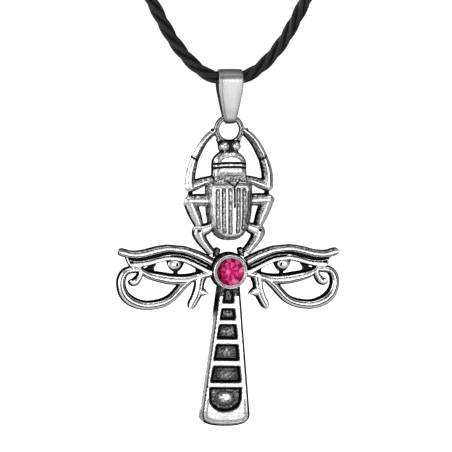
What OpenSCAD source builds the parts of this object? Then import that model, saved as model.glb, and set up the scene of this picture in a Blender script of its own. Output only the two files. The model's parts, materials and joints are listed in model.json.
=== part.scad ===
/* [Neck cord] */
// Diameter of the braided cord
cord_d = 2.6; // [2:0.1:3]
// Height of the loop, from the cord in the bail up to the clasp
loop_rise = 156; // [140:1:170]
// Half of the width of the loop
loop_reach = 66; // [60:1:70]

/* [Clasp] */
// Length of the barrel clasp
clasp_len = 30; // [24:1:34]
// Diameter of the barrel clasp
clasp_d = 6; // [5:0.5:8]
// Gap around a cord end in its socket
socket_gap = 0.2; // [0.1:0.05:0.3]
// Width of the groove round the barrel's middle
clasp_groove_w = 0.8; // [0.4:0.1:1.5]

/* [Bail] */
// Width of the bail at the cord
bail_w = 4.95; // [4:0.05:6]
// Width of the bail at its foot
bail_foot_w = 2.2; // [1.6:0.1:2.6]
// Thickness of the bail's folded strip
bail_strip = 0.45; // [0.3:0.05:0.6]
// Room between the cord and the bail
bail_cord_gap = 0.6; // [0.5:0.05:0.9]
// How far the bail's head hangs under the cord's centre
bail_drop = 0.2; // [0.1:0.05:0.25]
// Room between the ring's wire and the bail's foot
bail_wire_gap = 0.45; // [0.35:0.05:0.6]
// Distance from the cord's centre down to the ring's top wire
bail_reach = 7.55; // [6.5:0.05:9]

/* [Ring] */
// Inner diameter of the ring
ring_bore = 3.95; // [3.7:0.05:4.6]
// Thickness of the ring's wire
ring_wire = 1.1; // [0.9:0.05:1.3]
// How far the casting's flat back stands behind the ring
ring_inset = 0.45; // [0.3:0.05:0.5]

/* [Scarab] */
// Distance from the stone's centre up to the ring's centre
scarab_len = 28.4; // [26:0.2:32]
// Half of the width across the legs
leg_reach = 9.15; // [8.4:0.05:10]
// Width of a leg
leg_w = 1.8; // [1.4:0.1:2.2]
// Height of the legs above the flat back
leg_h = 2.2; // [1.8:0.1:2.8]
// Half of the width of the wing cases at the back
case_reach = 4.75; // [4.2:0.05:5.4]
// Height of the wing cases above the flat back
case_h = 4.1; // [3.4:0.1:4.8]
// Half of the width of the neck shield
shield_reach = 3.45; // [3:0.05:4]
// Height of the neck shield above the flat back
shield_h = 3.2; // [2.6:0.1:3.8]
// Radius of the beetle's eyes
eye_r = 0.75; // [0.6:0.05:0.9]
// Height of the head above the flat back
head_h = 1.9; // [1.6:0.1:2.4]
// Depth of the grooves in the wing cases
groove_depth = 0.35; // [0.2:0.05:0.5]

/* [Eye wings] */
// Distance from the stone's centre to a wing's end
wing_reach = 22.65; // [20:0.05:25]
// Unit of height of the wing's drawing
wing_rise = 13.1; // [12:0.1:15]
// Width of a wing's bars
bar_w = 1.8; // [1.6:0.1:2.1]
// Height of the wing's bars above the flat back
bar_h = 2.1; // [1.8:0.1:2.6]
// Thickness of the closed floor under the brow
floor_h = 1; // [0.7:0.1:1.3]
// Radius of the iris
iris_r = 1.6; // [1.4:0.05:1.8]

/* [Setting] */
// Diameter of the stone
stone_d = 5.7; // [5.2:0.1:6.4]
// Height of the stone's crown above its girdle
crown_h = 0.75; // [0.5:0.05:1]
// Depth of the stone below its girdle
pavilion_h = 1.5; // [1:0.1:1.7]
// Thickness of the stone's girdle
girdle_t = 0.2; // [0.15:0.05:0.3]
// How far the stone's table stands over the cup's rim
table_proud = 0.15; // [0.1:0.05:0.25]
// Gap round the stone
stone_gap = 0.05; // [0.03:0.01:0.08]
// Width of the lip over the stone
lip_w = 0.12; // [0.1:0.01:0.15]
// Width of the cup's rim
rim_w = 0.5; // [0.4:0.05:0.8]
// Height of the cup's rim above the flat back
cup_h = 3; // [2.7:0.1:3.4]
// How much wider the cup is at the back than at its rim
cup_flare = 0.45; // [0.2:0.05:0.7]

/* [Shaft] */
// Distance from the stone's centre down to the shaft's foot
shaft_len = 31.35; // [27:0.05:36]
// Half of the shaft's width under the cup
shaft_neck = 2; // [1.9:0.05:2.4]
// Half of the shaft's width at its foot
shaft_foot = 5.45; // [5:0.05:6]
// Height of the shaft's face above the flat back
shaft_h = 2.7; // [2.3:0.1:3.2]
// How far the face stands in from the sides
shaft_draft = 0.75; // [0.4:0.05:0.9]
// Angle of the shaft off upright
shaft_lean = 1.8; // [0:0.2:3]
// Depth of the recesses in the face
recess_depth = 1.2; // [0.8:0.1:1.5]
// Height of the tile in each recess
tile_h = 0.3; // [0.2:0.05:0.5]
// Gap between a tile and its recess's walls
tile_gap = 0.4; // [0.3:0.05:0.5]

/* [Hidden] */

// The origin is the nape rest, under the middle of the clasp.
cord_r = cord_d / 2;
clasp_z = clasp_d / 2;
// Each route row is its place across and up the loop, in hundredths, from the bail to the clasp.
ROUTE_HALF = [
    [0, 0], [3.79, 0.16], [7.58, 0.87], [12.12, 2.44], [17.42, 5.26], [23.48, 9.94], [30.3, 16.03], [50, 33.33],
    [61.36, 42.31], [72.73, 51.28], [84.09, 60.26], [93.94, 69.23], [100, 77.88], [98.48, 86.22], [86.36, 93.27],
    [67.42, 97.44], [46.97, 99.49], [30.3, 100], [23.48, 100]
];
socket_depth = clasp_len / 6;
bail_z = clasp_z - loop_rise;
CORD_SIDES = 8;
CORD_STEPS = 2;

// Places on the pendant
wire_z = bail_z - bail_reach;
wire_r = ring_wire / 2;
ring_mean = ring_bore / 2 + wire_r;
ring_z = wire_z - ring_mean;
stone_z = ring_z - scarab_len;
back_y = ring_wire / 2 + ring_inset;
bail_in_r = cord_r + bail_cord_gap;
foot_in_r = wire_r + bail_wire_gap;

// Places on the casting, as heights above its back
stone_r = stone_d / 2;
cup_r = stone_r + stone_gap + rim_w;
cup_back_r = cup_r + cup_flare;
girdle_h = cup_h - crown_h + table_proud;
overlap = stone_gap;
// The stone's cone changes its slope at a waist under the girdle.
waist_r = stone_r * 0.62;
waist_drop = pavilion_h * 0.55;

// Wing rows: share of the reach, share of the rise, share of the bar's width, all in hundredths
BROW = [
    [97.6, 29.5, 35], [95, 28.2, 78], [90, 26.3, 88], [84.5, 25.5, 88], [78.5, 26, 85], [73, 28, 80],
    [67.5, 30.5, 78], [61.5, 33.5, 78], [55, 35, 72], [48.5, 35, 72], [42.5, 33.5, 73], [37, 31, 80],
    [31.5, 27, 90], [25.5, 22, 100], [20, 17, 105], [13, 10.5, 105]
];
CHANNEL = [
    [89.5, 16, 96], [81, 14.5, 100], [75, 17, 100], [68.5, 19.5, 100], [61.5, 23, 100], [55, 25.5, 96],
    [48.5, 25.5, 96], [42.5, 24, 96], [36, 19, 100], [30, 14, 100], [23.5, 8.5, 100], [12, 0.5, 110]
];
UPPER_LID = [
    [87, 5.5, 45], [78.5, 7, 52], [73, 9.5, 52], [67.5, 12, 53], [61.5, 15, 53], [55, 17.5, 50], [48.5, 18.5, 46],
    [42.5, 16, 46], [37, 13, 48], [31.5, 9, 52], [26.5, 4.5, 58], [21, -0.5, 70], [14, -4.5, 90]
];
LOWER_LID = [
    [80, 1, 75], [73, -5, 92], [66.5, -9, 100], [60.5, -12.5, 105], [54, -14.5, 105], [48, -15, 105],
    [41.5, -14.5, 104], [35.5, -13, 92], [29, -10.5, 80], [22.5, -6, 85], [14, -1.5, 100]
];
LOOP = [
    [79, 5, 70], [85.5, 4, 86], [90, 2, 88], [94, -3.5, 88], [96, -11.5, 88], [96, -20, 90], [95, -29, 98],
    [92.5, -38, 108], [88, -45.5, 114], [82, -50.5, 112], [75.5, -53, 108], [69.5, -53.5, 105], [63, -52.5, 103],
    [57, -49, 103], [50.5, -43, 103], [45, -35.5, 100], [40, -26, 95], [36, -17.5, 88], [33, -11.5, 75]
];
HOOK = [[78, 1, 66], [78.5, -8, 66], [79.5, -14.5, 62], [81.7, -18.7, 60], [84, -19.3, 58], [85.5, -17, 48]];
FEATHER = [
    [23.5, -6, 90], [25.5, -16, 83], [25.5, -25.5, 88], [26.5, -33.5, 105], [29.5, -43, 98], [32, -50, 80],
    [34, -55.5, 50]
];
SPIKE = [[26, -28, 90], [22.3, -34.5, 62], [17.8, -37.2, 12]];
IRIS_AT = [47.8, 11];
IRIS_STEM = [[47.8, 4, 60], [47.5, -10, 30]];
EYE_CORNERS = [[[76, 3, 60], [68, 4, 90]], [[29, 0, 90], [22, -2, 80]]];

// Leg rows: share of the reach, share of the scarab's length, share of the leg's width, all in hundredths
FORE_SHIN = [[30, 99.5, 80], [46, 95.5, 93], [58, 91, 100], [68, 85.5, 106], [77, 79.5, 110]];
FORE_THIGH = [[75, 81.5, 98], [81.5, 75, 117], [86, 68.5, 124], [86, 63.5, 127], [83.5, 60, 100]];
SHOULDER = [[84, 61.5, 130], [69, 62.5, 115], [54, 64, 95], [25, 65.5, 90]];
MID_THIGH = [[91, 49.5, 108], [71.5, 49.5, 132], [40, 49.5, 132]];
MID_SHIN = [[88.5, 49.5, 122], [81.5, 43.5, 122], [74, 39, 117], [65, 33, 95]];
HIND_THIGH = [[36, 34, 70], [48, 30.5, 125], [62, 29, 150]];
HIND_SHIN = [[64, 29.5, 150], [66, 27, 155], [60.5, 22.5, 128], [50.5, 18, 110], [36, 12.5, 100]];
KNEE_WEBS = [[[84, 61, 45], [86, 50, 50]], [[70, 36, 60], [66, 29, 80]]];
// Knee rows: share of the reach, share of the scarab's length, share of the leg's width
KNEES = [[87, 61.5, 120], [89.5, 49, 118], [65, 28.5, 150]];

// Body rows: share of the half width and share of the scarab's length, in hundredths, from the foot up
CASE_OUTLINE = [[0, 21.6], [27, 22], [46, 23.3], [62, 25.5], [78, 29.5], [90, 34.5], [97, 41], [100, 60], [93, 63.3]];
SHIELD_OUTLINE = [[95, 63], [100, 66.5], [98, 75], [92, 77.8], [81, 80], [65, 82], [47, 83.6]];
HEAD_OUTLINE = [[54, 83], [54, 86], [70, 93]];
// Each groove is its place across the wing cases, and its foot and top along the scarab, in hundredths
GROOVES = [[0, 28.5, 59], [26, 29.5, 58], [52, 30.5, 58.5]];
SCUTELLUM = [[26, 61.5], [0, 57]];
// The grooves across the neck shield, as shares of the scarab's length in hundredths
SHIELD_GROOVES = [72.7, 76.3];

// Recess rows: top and foot as shares of the shaft's length, in hundredths, and the width of the frame beside it
RECESSES = [
    [11.5, 20, 0.7], [24, 30.8, 0.62], [34.2, 43.2, 0.57], [47, 57, 0.52], [61, 71.2, 0.5]
];
// The last recess has a round foot.
LAST_RECESS = [74.8, 90, 0.45];

function last(list) = list[len(list) - 1];

// A point on the smooth curve through p, q, r and s, between q and r
function between(p, q, r, s, t) =
    0.5 * (2 * q + (r - p) * t + (2 * p - 5 * q + 4 * r - s) * t * t + (3 * q - p - 3 * r + s) * t * t * t);

// The rows of a path with more rows laid between them
function smooth(rows, steps) = [
    for (i = [0 : len(rows) - 2], k = [0 : steps - 1])
        between(rows[max(i - 1, 0)], rows[i], rows[i + 1], rows[min(i + 2, len(rows) - 1)], k / steps),
    last(rows)
];

// Rows of shares made into millimetres
function sized(rows, reach, rise, width) = [
    for (r = rows) [r[0] * reach, r[1] * rise, r[2] * width] / 100
];

function heading(path, i) =
    let (d = path[min(i + 1, len(path) - 1)] - path[max(i - 1, 0)])
    [d.x, d.y] / norm([d.x, d.y]);

// The skin of a tube: rings of equal count, closed at both ends
function tube_faces(rings, sides) = [
    [for (j = [sides - 1 : -1 : 0]) j],
    for (i = [0 : rings - 2], j = [0 : sides - 1])
        let (a = i * sides, b = a + sides, n = (j + 1) % sides)
        each [[a + j, b + n, b + j], [a + j, a + n, b + n]],
    [for (j = [0 : sides - 1]) (rings - 1) * sides + j]
];

// A raised bar on the flat back: rows of x, y and width, with sloping sides and a narrower top
module bar(rows, height, steps = 2, crown = 0.5) {
    section = [[-1, 0], [-0.88, 0.6], [-crown, 1], [crown, 1], [0.88, 0.6], [1, 0]];
    path = smooth(rows, steps);
    points = [
        for (i = [0 : len(path) - 1], s = section)
            let (d = heading(path, i), half = path[i][2] / 2)
            [path[i].x - d.y * s.x * half, path[i].y + d.x * s.x * half, s.y * height]
    ];
    polyhedron(points, tube_faces(len(path), len(section)), convexity = 6);
}

// A flat-backed boss with a domed top
module boss(at, radius, height) {
    translate([at.x, at.y, 0]) hull() {
        cylinder(h = height * 0.6, r = radius, $fn = 14);
        cylinder(h = height * 0.88, r = radius * 0.8, $fn = 14);
        cylinder(h = height, r = radius * 0.4, $fn = 14);
    }
}

// An outline drawn in towards its middle, a little more along the scarab than across it
function narrowed(outline, inset) =
    let (
        ys = [for (p = outline) p.y],
        mid = (max(ys) + min(ys)) / 2,
        wide = 1 - inset / max([for (p = outline) p.x]),
        long = 1 - inset * 1.2 / (max(ys) - mid)
    )
    [for (p = outline) [p.x * wide, mid + (p.y - mid) * long]];

// A convex outline raised to a rounded top
module mound(outline, height, steep = 0.62) {
    hull() {
        linear_extrude(height * steep) polygon(outline);
        linear_extrude(height * 0.9) polygon(narrowed(outline, height * 0.1));
        linear_extrude(height) polygon(narrowed(outline, height * 0.21));
    }
}

// Half an outline and its mirror image, as one closed outline
function both_sides(half) = concat(half, [for (i = [len(half) - 1 : -1 : 0]) [-half[i].x, half[i].y]]);
function body_outline(rows, reach) = both_sides([for (r = rows) [r[0] * reach, r[1] * scarab_len] / 100]);

module wing() {
    module part_bar(rows, height, steps = 2, crown = 0.5) {
        bar(sized(rows, wing_reach, wing_rise, bar_w), height, steps, crown);
    }
    ridge = [for (r = CHANNEL) [r[0], r[1], 22]];
    iris = [IRIS_AT.x * wing_reach, IRIS_AT.y * wing_rise] / 100;
    part_bar(CHANNEL, floor_h, steps = 1, crown = 0.9);
    part_bar(ridge, floor_h + 0.35, steps = 1);
    part_bar(BROW, bar_h, steps = 1);
    part_bar(UPPER_LID, bar_h, steps = 1);
    part_bar(LOWER_LID, bar_h, steps = 1);
    part_bar(LOOP, bar_h, steps = 1);
    part_bar(HOOK, bar_h);
    part_bar(FEATHER, bar_h);
    part_bar(SPIKE, bar_h * 0.9);
    for (corner = EYE_CORNERS)
        part_bar(corner, floor_h * 0.8, steps = 1, crown = 0.9);
    part_bar(IRIS_STEM, bar_h * 0.7, steps = 1);
    boss(iris, iris_r, bar_h * 0.85);
    boss(iris + [0, iris_r * 0.15], iris_r * 0.55, bar_h * 1.1);
}

module leg_bars() {
    module part_bar(rows, height) {
        bar(sized(rows, leg_reach, scarab_len, leg_w), height);
    }
    part_bar(FORE_SHIN, leg_h * 0.95);
    part_bar(FORE_THIGH, leg_h);
    part_bar(SHOULDER, leg_h * 0.9);
    part_bar(MID_THIGH, leg_h);
    part_bar(MID_SHIN, leg_h * 0.95);
    part_bar(HIND_THIGH, leg_h * 0.95);
    part_bar(HIND_SHIN, leg_h);
    for (web = KNEE_WEBS)
        part_bar(web, leg_h * 0.6);
    for (knee = sized(KNEES, leg_reach, scarab_len, leg_w))
        boss([knee.x, knee.y], knee[2] / 2, leg_h);
}

// The lug that ties a hind leg to the cup
module leg_lug() {
    lug_w = leg_w * 0.85;
    linear_extrude(leg_h * 0.7) polygon([
        [leg_w, cup_back_r * 0.75], [leg_reach * 0.42, cup_back_r * 0.75],
        [leg_reach * 0.44, scarab_len * 0.165], [lug_w, scarab_len * 0.165]
    ]);
}

module wing_cases() {
    outline = body_outline(CASE_OUTLINE, case_reach);
    groove_r = case_reach * 0.07;
    difference() {
        mound(outline, case_h);
        for (row = GROOVES, side = row[0] == 0 ? [1] : [-1, 1])
            hull() for (end = [row[1], row[2]])
                translate([
                    side * row[0] * case_reach / 100, end * scarab_len / 100, case_h + groove_r - groove_depth
                ]) sphere(groove_r, $fn = 10);
        translate([0, 0, case_h - groove_depth * 0.7]) linear_extrude(1)
            polygon([
                for (side = [-1, 0, 1]) let (row = SCUTELLUM[side == 0 ? 1 : 0])
                [side * row.x * case_reach, row.y * scarab_len] / 100
            ]);
    }
}

module neck_shield() {
    groove_h = leg_w * 0.16;
    difference() {
        mound(body_outline(SHIELD_OUTLINE, shield_reach), shield_h, 0.5);
        for (share = SHIELD_GROOVES)
            translate([-shield_reach * 1.1, share * scarab_len / 100, shield_h * 0.86])
                cube([shield_reach * 2.2, groove_h, shield_h]);
    }
}

module head() {
    mound(body_outline(HEAD_OUTLINE, shield_reach), head_h, 0.8);
    for (side = [-1, 1])
        translate([side * eye_r * 1.55, scarab_len * 0.882, head_h * 0.85]) sphere(eye_r, $fn = 16);
}

module scarab() {
    for (side = [0, 1]) mirror([side, 0, 0]) {
        leg_bars();
        leg_lug();
    }
    wing_cases();
    // The collar closes the step between the wing cases and the shield.
    translate([0, scarab_len * 0.635, 0]) mound(
        [for (x = [-1, 1], y = [-1, 1] * x) [x * shield_reach * 1.1, y * scarab_len * 0.02]], shield_h * 0.8
    );
    neck_shield();
    head();
}

// The ring's section is a little deeper than it is wide.
module ring() {
    translate([0, scarab_len, back_y]) rotate_extrude($fn = 32) translate([ring_mean, 0])
        scale([1, 1.15]) circle(wire_r, $fn = 14);
}

module cup() {
    difference() {
        hull() {
            cylinder(h = cup_h * 0.3, r = cup_back_r, $fn = 48);
            cylinder(h = cup_h * 0.94, r = cup_r, $fn = 48);
            cylinder(h = cup_h, r = cup_r - rim_w * 0.25, $fn = 48);
        }
        stone_room();
    }
}

// The hollow that the stone drops into, with a lip over its girdle and a ledge under its cone
module stone_room() {
    room_r = stone_r + stone_gap;
    ledge_w = lip_w * 2.5;
    // The cone has narrowed to the ledge's bore at this depth under the girdle.
    ledge_drop = ledge_w / (stone_r - waist_r) * waist_drop + stone_gap;
    ledge_at = girdle_h - girdle_t - ledge_drop;
    floor_at = girdle_h - girdle_t - pavilion_h - stone_gap;
    translate([0, 0, girdle_h + stone_gap * 2]) cylinder(h = cup_h, r = room_r - lip_w, $fn = 48);
    translate([0, 0, ledge_at])
        cylinder(h = girdle_h + stone_gap * 2 + overlap - ledge_at, r = room_r, $fn = 48);
    translate([0, 0, floor_at]) cylinder(h = cup_h - floor_at, r = room_r - ledge_w, $fn = 48);
}

// Half the shaft's width at a distance below the stone's centre
function shaft_half(drop) = shaft_neck + (shaft_foot - shaft_neck) * drop / shaft_len;

// The shaft's outline stepped in by some width, with a rounded foot
function shaft_outline(inset) =
    let (
        foot_rise = shaft_foot * 0.46,
        straight = shaft_len - foot_rise,
        half = shaft_half(straight) - inset,
        turn = [for (a = [0 : 10 : 90]) [
            half * pow(cos(a), 0.77), -straight - (foot_rise - inset) * pow(sin(a), 0.77)
        ]]
    )
    both_sides(concat([[shaft_half(0) - inset, 0]], turn));

module recess_outline(row, inset) {
    tops = [row[0], row[1]] * shaft_len / 100;
    frame = shaft_draft + row[2] + inset;
    corner = tile_gap * 0.6;
    offset(r = corner, $fn = 16) offset(delta = -corner)
        polygon(both_sides([
            [shaft_half(tops[0]) - frame, -tops[0] - inset], [shaft_half(tops[1]) - frame, -tops[1] + inset]
        ]));
}

module last_recess_outline(inset) {
    tops = [LAST_RECESS[0], LAST_RECESS[1]] * shaft_len / 100;
    half = shaft_half(tops[0]) - shaft_draft - LAST_RECESS[2] - inset;
    side_drop = (tops[1] - tops[0]) * 0.45;
    polygon(both_sides([
        [half, -tops[0] - inset],
        for (a = [0 : 12 : 84])
            [half * cos(a), -tops[0] - side_drop - (tops[1] - tops[0] - side_drop - inset) * sin(a)]
    ]));
}

module shaft() {
    floor_at = shaft_h - recess_depth;
    difference() {
        hull() {
            linear_extrude(shaft_h * 0.45) polygon(shaft_outline(0));
            linear_extrude(shaft_h * 0.93) polygon(shaft_outline(shaft_draft * 0.85));
            linear_extrude(shaft_h) polygon(shaft_outline(shaft_draft));
        }
        translate([0, 0, floor_at]) linear_extrude(shaft_h) {
            for (row = RECESSES) recess_outline(row, 0);
            last_recess_outline(0);
        }
    }
    translate([0, 0, floor_at - overlap]) linear_extrude(tile_h + overlap) {
        for (row = RECESSES) recess_outline(row, tile_gap);
        last_recess_outline(tile_gap);
    }
    // The last tile is domed.
    hull() {
        translate([0, 0, floor_at - overlap]) linear_extrude(tile_h + overlap)
            last_recess_outline(tile_gap);
        translate([0, -shaft_len * 0.815, floor_at]) cylinder(h = tile_h * 2.2, r = tile_gap * 2, $fn = 16);
    }
}

module ankh() {
    color("silver") translate([0, back_y, stone_z]) rotate([90, 0, 0]) difference() {
        union() {
            for (side = [0, 1]) mirror([side, 0, 0]) wing();
            scarab();
            ring();
            cup();
            rotate(-shaft_lean) shaft();
        }
        stone_room();
    }
}

// A brilliant: octagon table, star facets, kite facets, girdle and pavilion
module stone() {
    girdle_at = girdle_h - girdle_t;
    color("crimson") translate([0, back_y, stone_z]) rotate([90, 0, 0]) translate([0, 0, girdle_at]) hull() {
        cylinder(h = girdle_t, r = stone_r, $fn = 32);
        rotate(11.25) cylinder(h = girdle_t + crown_h * 0.62, r = stone_r * 0.84, $fn = 16);
        rotate(22.5) cylinder(h = girdle_t + crown_h, r = stone_r * 0.58, $fn = 8);
        translate([0, 0, -waist_drop]) cylinder(h = overlap, r = waist_r, $fn = 16);
        translate([0, 0, -pavilion_h]) cylinder(h = overlap, r = stone_r * 0.12, $fn = 8);
    }
}

// The strip's side view: a round head over the cord, a round foot round the ring's wire, and straight leaves
function loop_side(top_r, foot_r) =
    let (lean = asin((top_r - foot_r) / (bail_reach - bail_drop)))
    [
        for (a = [-lean : (180 + 2 * lean) / 28 : 180 + lean + 0.01])
            [0, -bail_drop] + [cos(a), sin(a)] * top_r,
        for (a = [180 + lean : (180 - 2 * lean) / 20 : 360 - lean + 0.01])
            [0, -bail_reach] + [cos(a), sin(a)] * foot_r
    ];

// Bail outline rows: share of the way down to the foot, share of the half width above the foot's, in hundredths
BAIL_TAPER = [[-40, 100], [13, 100], [26, 97], [40, 84], [53, 70], [66, 57], [80, 43], [93, 26], [107, 3], [125, -8]];

module bail() {
    outline = both_sides([
        for (r = BAIL_TAPER)
            [bail_foot_w / 2 + (bail_w - bail_foot_w) / 2 * r[1] / 100, -bail_reach * r[0] / 100]
    ]);
    depth = bail_in_r + bail_strip + 1;
    color("gainsboro") translate([0, 0, bail_z]) intersection() {
        rotate([90, 0, 90]) translate([0, 0, -bail_w]) linear_extrude(bail_w * 2) difference() {
            polygon(loop_side(bail_in_r + bail_strip, foot_in_r + bail_strip));
            polygon(loop_side(bail_in_r, foot_in_r));
        }
        rotate([90, 0, 0]) translate([0, 0, -depth]) linear_extrude(depth * 2) polygon(outline);
    }
}

// Half the route, from the bail to the floor of a socket
half_route = [
    for (r = ROUTE_HALF) [r.x * loop_reach / 100, bail_z + r.y * loop_rise / 100],
    [clasp_len / 2 - socket_depth, clasp_z]
];
// The whole route, from one socket's floor round the bail to the other's
route = [
    for (i = [len(half_route) - 1 : -1 : 1]) [-half_route[i].x, half_route[i].y],
    each half_route
];

module neck_cord() {
    path = smooth(route, CORD_STEPS);
    points = [
        for (i = [0 : len(path) - 1], j = [0 : CORD_SIDES - 1])
            let (d = heading(path, i), a = (j + 0.5) * 360 / CORD_SIDES)
            [path[i].x - d.y * cos(a) * cord_r, sin(a) * cord_r, path[i].y + d.x * cos(a) * cord_r]
    ];
    color("black") polyhedron(points, tube_faces(len(path), CORD_SIDES), convexity = 6);
}

module clasp() {
    color("dimgray") translate([0, 0, clasp_z]) rotate([0, 90, 0]) difference() {
        translate([0, 0, -clasp_len / 2]) cylinder(h = clasp_len, d = clasp_d, $fn = 48);
        for (side = [-1, 1])
            translate([0, 0, side * (clasp_len / 2 - socket_depth / 2 + overlap / 2)])
                cylinder(h = socket_depth + overlap, r = cord_r + socket_gap, center = true, $fn = 48);
        difference() {
            cylinder(h = clasp_groove_w, d = clasp_d + 1, center = true, $fn = 48);
            cylinder(h = clasp_groove_w + 1, d = clasp_d - clasp_groove_w, center = true, $fn = 48);
        }
    }
}

ankh();
stone();
bail();
neck_cord();
clasp();
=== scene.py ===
"""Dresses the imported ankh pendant: cast scarab ankh, red stone, folded bail, twisted cord and barrel clasp."""

import json
import logging
import math
from dataclasses import dataclass
from enum import Enum
from typing import Iterable, Sequence

import bmesh
import bpy
import numpy as np
from mathutils import Matrix, Vector, noise
from mathutils.bvhtree import BVHTree
from mathutils.interpolate import poly_3d_calc

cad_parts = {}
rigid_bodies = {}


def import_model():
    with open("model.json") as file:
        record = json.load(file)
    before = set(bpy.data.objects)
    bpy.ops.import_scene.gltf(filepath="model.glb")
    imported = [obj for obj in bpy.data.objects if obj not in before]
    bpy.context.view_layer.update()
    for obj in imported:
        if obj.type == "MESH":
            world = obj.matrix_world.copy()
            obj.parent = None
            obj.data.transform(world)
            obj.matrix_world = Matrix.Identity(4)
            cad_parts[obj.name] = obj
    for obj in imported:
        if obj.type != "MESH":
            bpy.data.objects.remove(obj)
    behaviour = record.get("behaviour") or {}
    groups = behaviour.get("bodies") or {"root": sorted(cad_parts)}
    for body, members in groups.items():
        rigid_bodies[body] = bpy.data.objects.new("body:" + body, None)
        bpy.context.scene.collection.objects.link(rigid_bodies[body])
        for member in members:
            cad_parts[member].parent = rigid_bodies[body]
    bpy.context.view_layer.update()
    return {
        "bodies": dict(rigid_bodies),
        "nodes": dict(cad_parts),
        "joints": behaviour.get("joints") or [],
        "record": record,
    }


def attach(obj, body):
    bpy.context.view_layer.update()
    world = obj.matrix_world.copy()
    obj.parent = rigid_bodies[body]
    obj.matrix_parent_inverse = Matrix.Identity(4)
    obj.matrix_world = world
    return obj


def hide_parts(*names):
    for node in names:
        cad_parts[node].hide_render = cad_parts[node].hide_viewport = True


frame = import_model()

LOG = logging.getLogger("ankh_pendant")
MM = 0.001

# Places of the CAD model, in millimetres
BACK_Y = 1.0
CORD_D = 2.6
BAIL_Z = -153.0
STONE_Z = -191.475
CLASP_Z = 3.0

# Heights of a skin's unit normal: below the first it is the flat back, and over the second a groove may be cut
BACK_NORMAL = -0.6
FRONT_NORMAL = 0.2

Row = Sequence[float]
Band = tuple[float, float, "Tone"]


class Tone(Enum):
    """How black and how hammered a band of the casting is left after polishing."""

    BRIGHT = (0.0, 0.0)
    SATIN = (0.18, 0.2)
    WORN = (0.27, 0.3)
    DULL = (0.35, 0.15)
    PITTED = (0.26, 0.65)
    GREY = (0.38, 0.8)
    HAMMERED = (0.58, 1.0)
    LINE = (0.85, 0.25)
    BLACK = (1.0, 0.35)


class Side(Enum):
    """Which half of the mirrored drawing a piece is."""

    LEFT = -1
    RIGHT = 1


# Sections of the cast bars: place across, share of the height, and tone, from the right hand of the path to its left
BROW_SECTION: tuple[Band, ...] = (
    (-1, 0, Tone.BLACK), (-0.98, 0.48, Tone.BLACK), (-0.86, 0.6, Tone.LINE), (-0.8, 0.68, Tone.GREY),
    (-0.53, 0.82, Tone.GREY), (-0.48, 0.8, Tone.BLACK), (-0.36, 0.84, Tone.LINE), (-0.3, 0.97, Tone.BRIGHT),
    (0.22, 1, Tone.BRIGHT), (0.28, 0.94, Tone.LINE), (0.4, 0.92, Tone.LINE), (0.45, 0.93, Tone.SATIN),
    (0.68, 0.84, Tone.PITTED), (0.76, 0.74, Tone.BLACK), (0.98, 0.45, Tone.BLACK), (1, 0, Tone.BLACK),
)
LID_SECTION: tuple[Band, ...] = (
    (-1, 0, Tone.BLACK), (-0.98, 0.5, Tone.BLACK), (-0.8, 0.84, Tone.LINE), (-0.7, 0.97, Tone.BRIGHT),
    (0.34, 1, Tone.BRIGHT), (0.4, 0.92, Tone.GREY), (0.5, 0.9, Tone.GREY), (0.55, 0.88, Tone.BRIGHT),
    (0.66, 0.8, Tone.SATIN), (0.74, 0.7, Tone.BLACK), (1, 0.2, Tone.BLACK), (1, 0, Tone.BLACK),
)
LOWER_LID_SECTION: tuple[Band, ...] = (
    (-1, 0, Tone.BLACK), (-0.96, 0.2, Tone.BLACK), (-0.54, 0.76, Tone.BLACK), (-0.48, 0.84, Tone.SATIN),
    (-0.32, 0.86, Tone.BRIGHT), (-0.27, 0.8, Tone.LINE), (-0.15, 0.82, Tone.LINE), (-0.1, 0.96, Tone.BRIGHT),
    (0.36, 1, Tone.BRIGHT), (0.41, 0.92, Tone.LINE), (0.52, 0.9, Tone.LINE), (0.57, 0.9, Tone.BRIGHT),
    (0.74, 0.82, Tone.SATIN), (0.79, 0.74, Tone.BLACK), (0.98, 0.58, Tone.BLACK), (1, 0, Tone.BLACK),
)
LOOP_SECTION: tuple[Band, ...] = (
    (-1, 0, Tone.BLACK), (-0.98, 0.44, Tone.BLACK), (-0.66, 0.7, Tone.BLACK), (-0.61, 0.8, Tone.BRIGHT),
    (-0.49, 0.86, Tone.BRIGHT), (-0.45, 0.82, Tone.BLACK), (-0.33, 0.84, Tone.LINE), (-0.27, 0.97, Tone.BRIGHT),
    (0.12, 1, Tone.BRIGHT), (0.17, 0.92, Tone.BLACK), (0.31, 0.9, Tone.LINE), (0.36, 0.93, Tone.BRIGHT),
    (0.7, 0.8, Tone.SATIN), (0.78, 0.7, Tone.BLACK), (0.97, 0.48, Tone.BLACK), (1, 0, Tone.BLACK),
)
ROUND_SECTION: tuple[Band, ...] = (
    (-1, 0, Tone.BLACK), (-0.98, 0.5, Tone.BLACK), (-0.78, 0.7, Tone.BLACK), (-0.66, 0.82, Tone.GREY),
    (-0.25, 1, Tone.BRIGHT), (0.25, 1, Tone.BRIGHT), (0.6, 0.86, Tone.PITTED), (0.74, 0.72, Tone.BLACK),
    (0.97, 0.5, Tone.BLACK), (1, 0, Tone.BLACK),
)
LIMB_SECTION: tuple[Band, ...] = (
    (-1, 0, Tone.BLACK), (-0.97, 0.45, Tone.BLACK), (-0.78, 0.64, Tone.BLACK), (-0.72, 0.74, Tone.HAMMERED),
    (-0.3, 0.93, Tone.GREY), (-0.2, 0.98, Tone.WORN), (0.1, 1, Tone.SATIN), (0.6, 0.88, Tone.SATIN),
    (0.76, 0.78, Tone.PITTED), (0.86, 0.66, Tone.LINE), (0.97, 0.45, Tone.LINE), (1, 0, Tone.BLACK),
)
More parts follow.
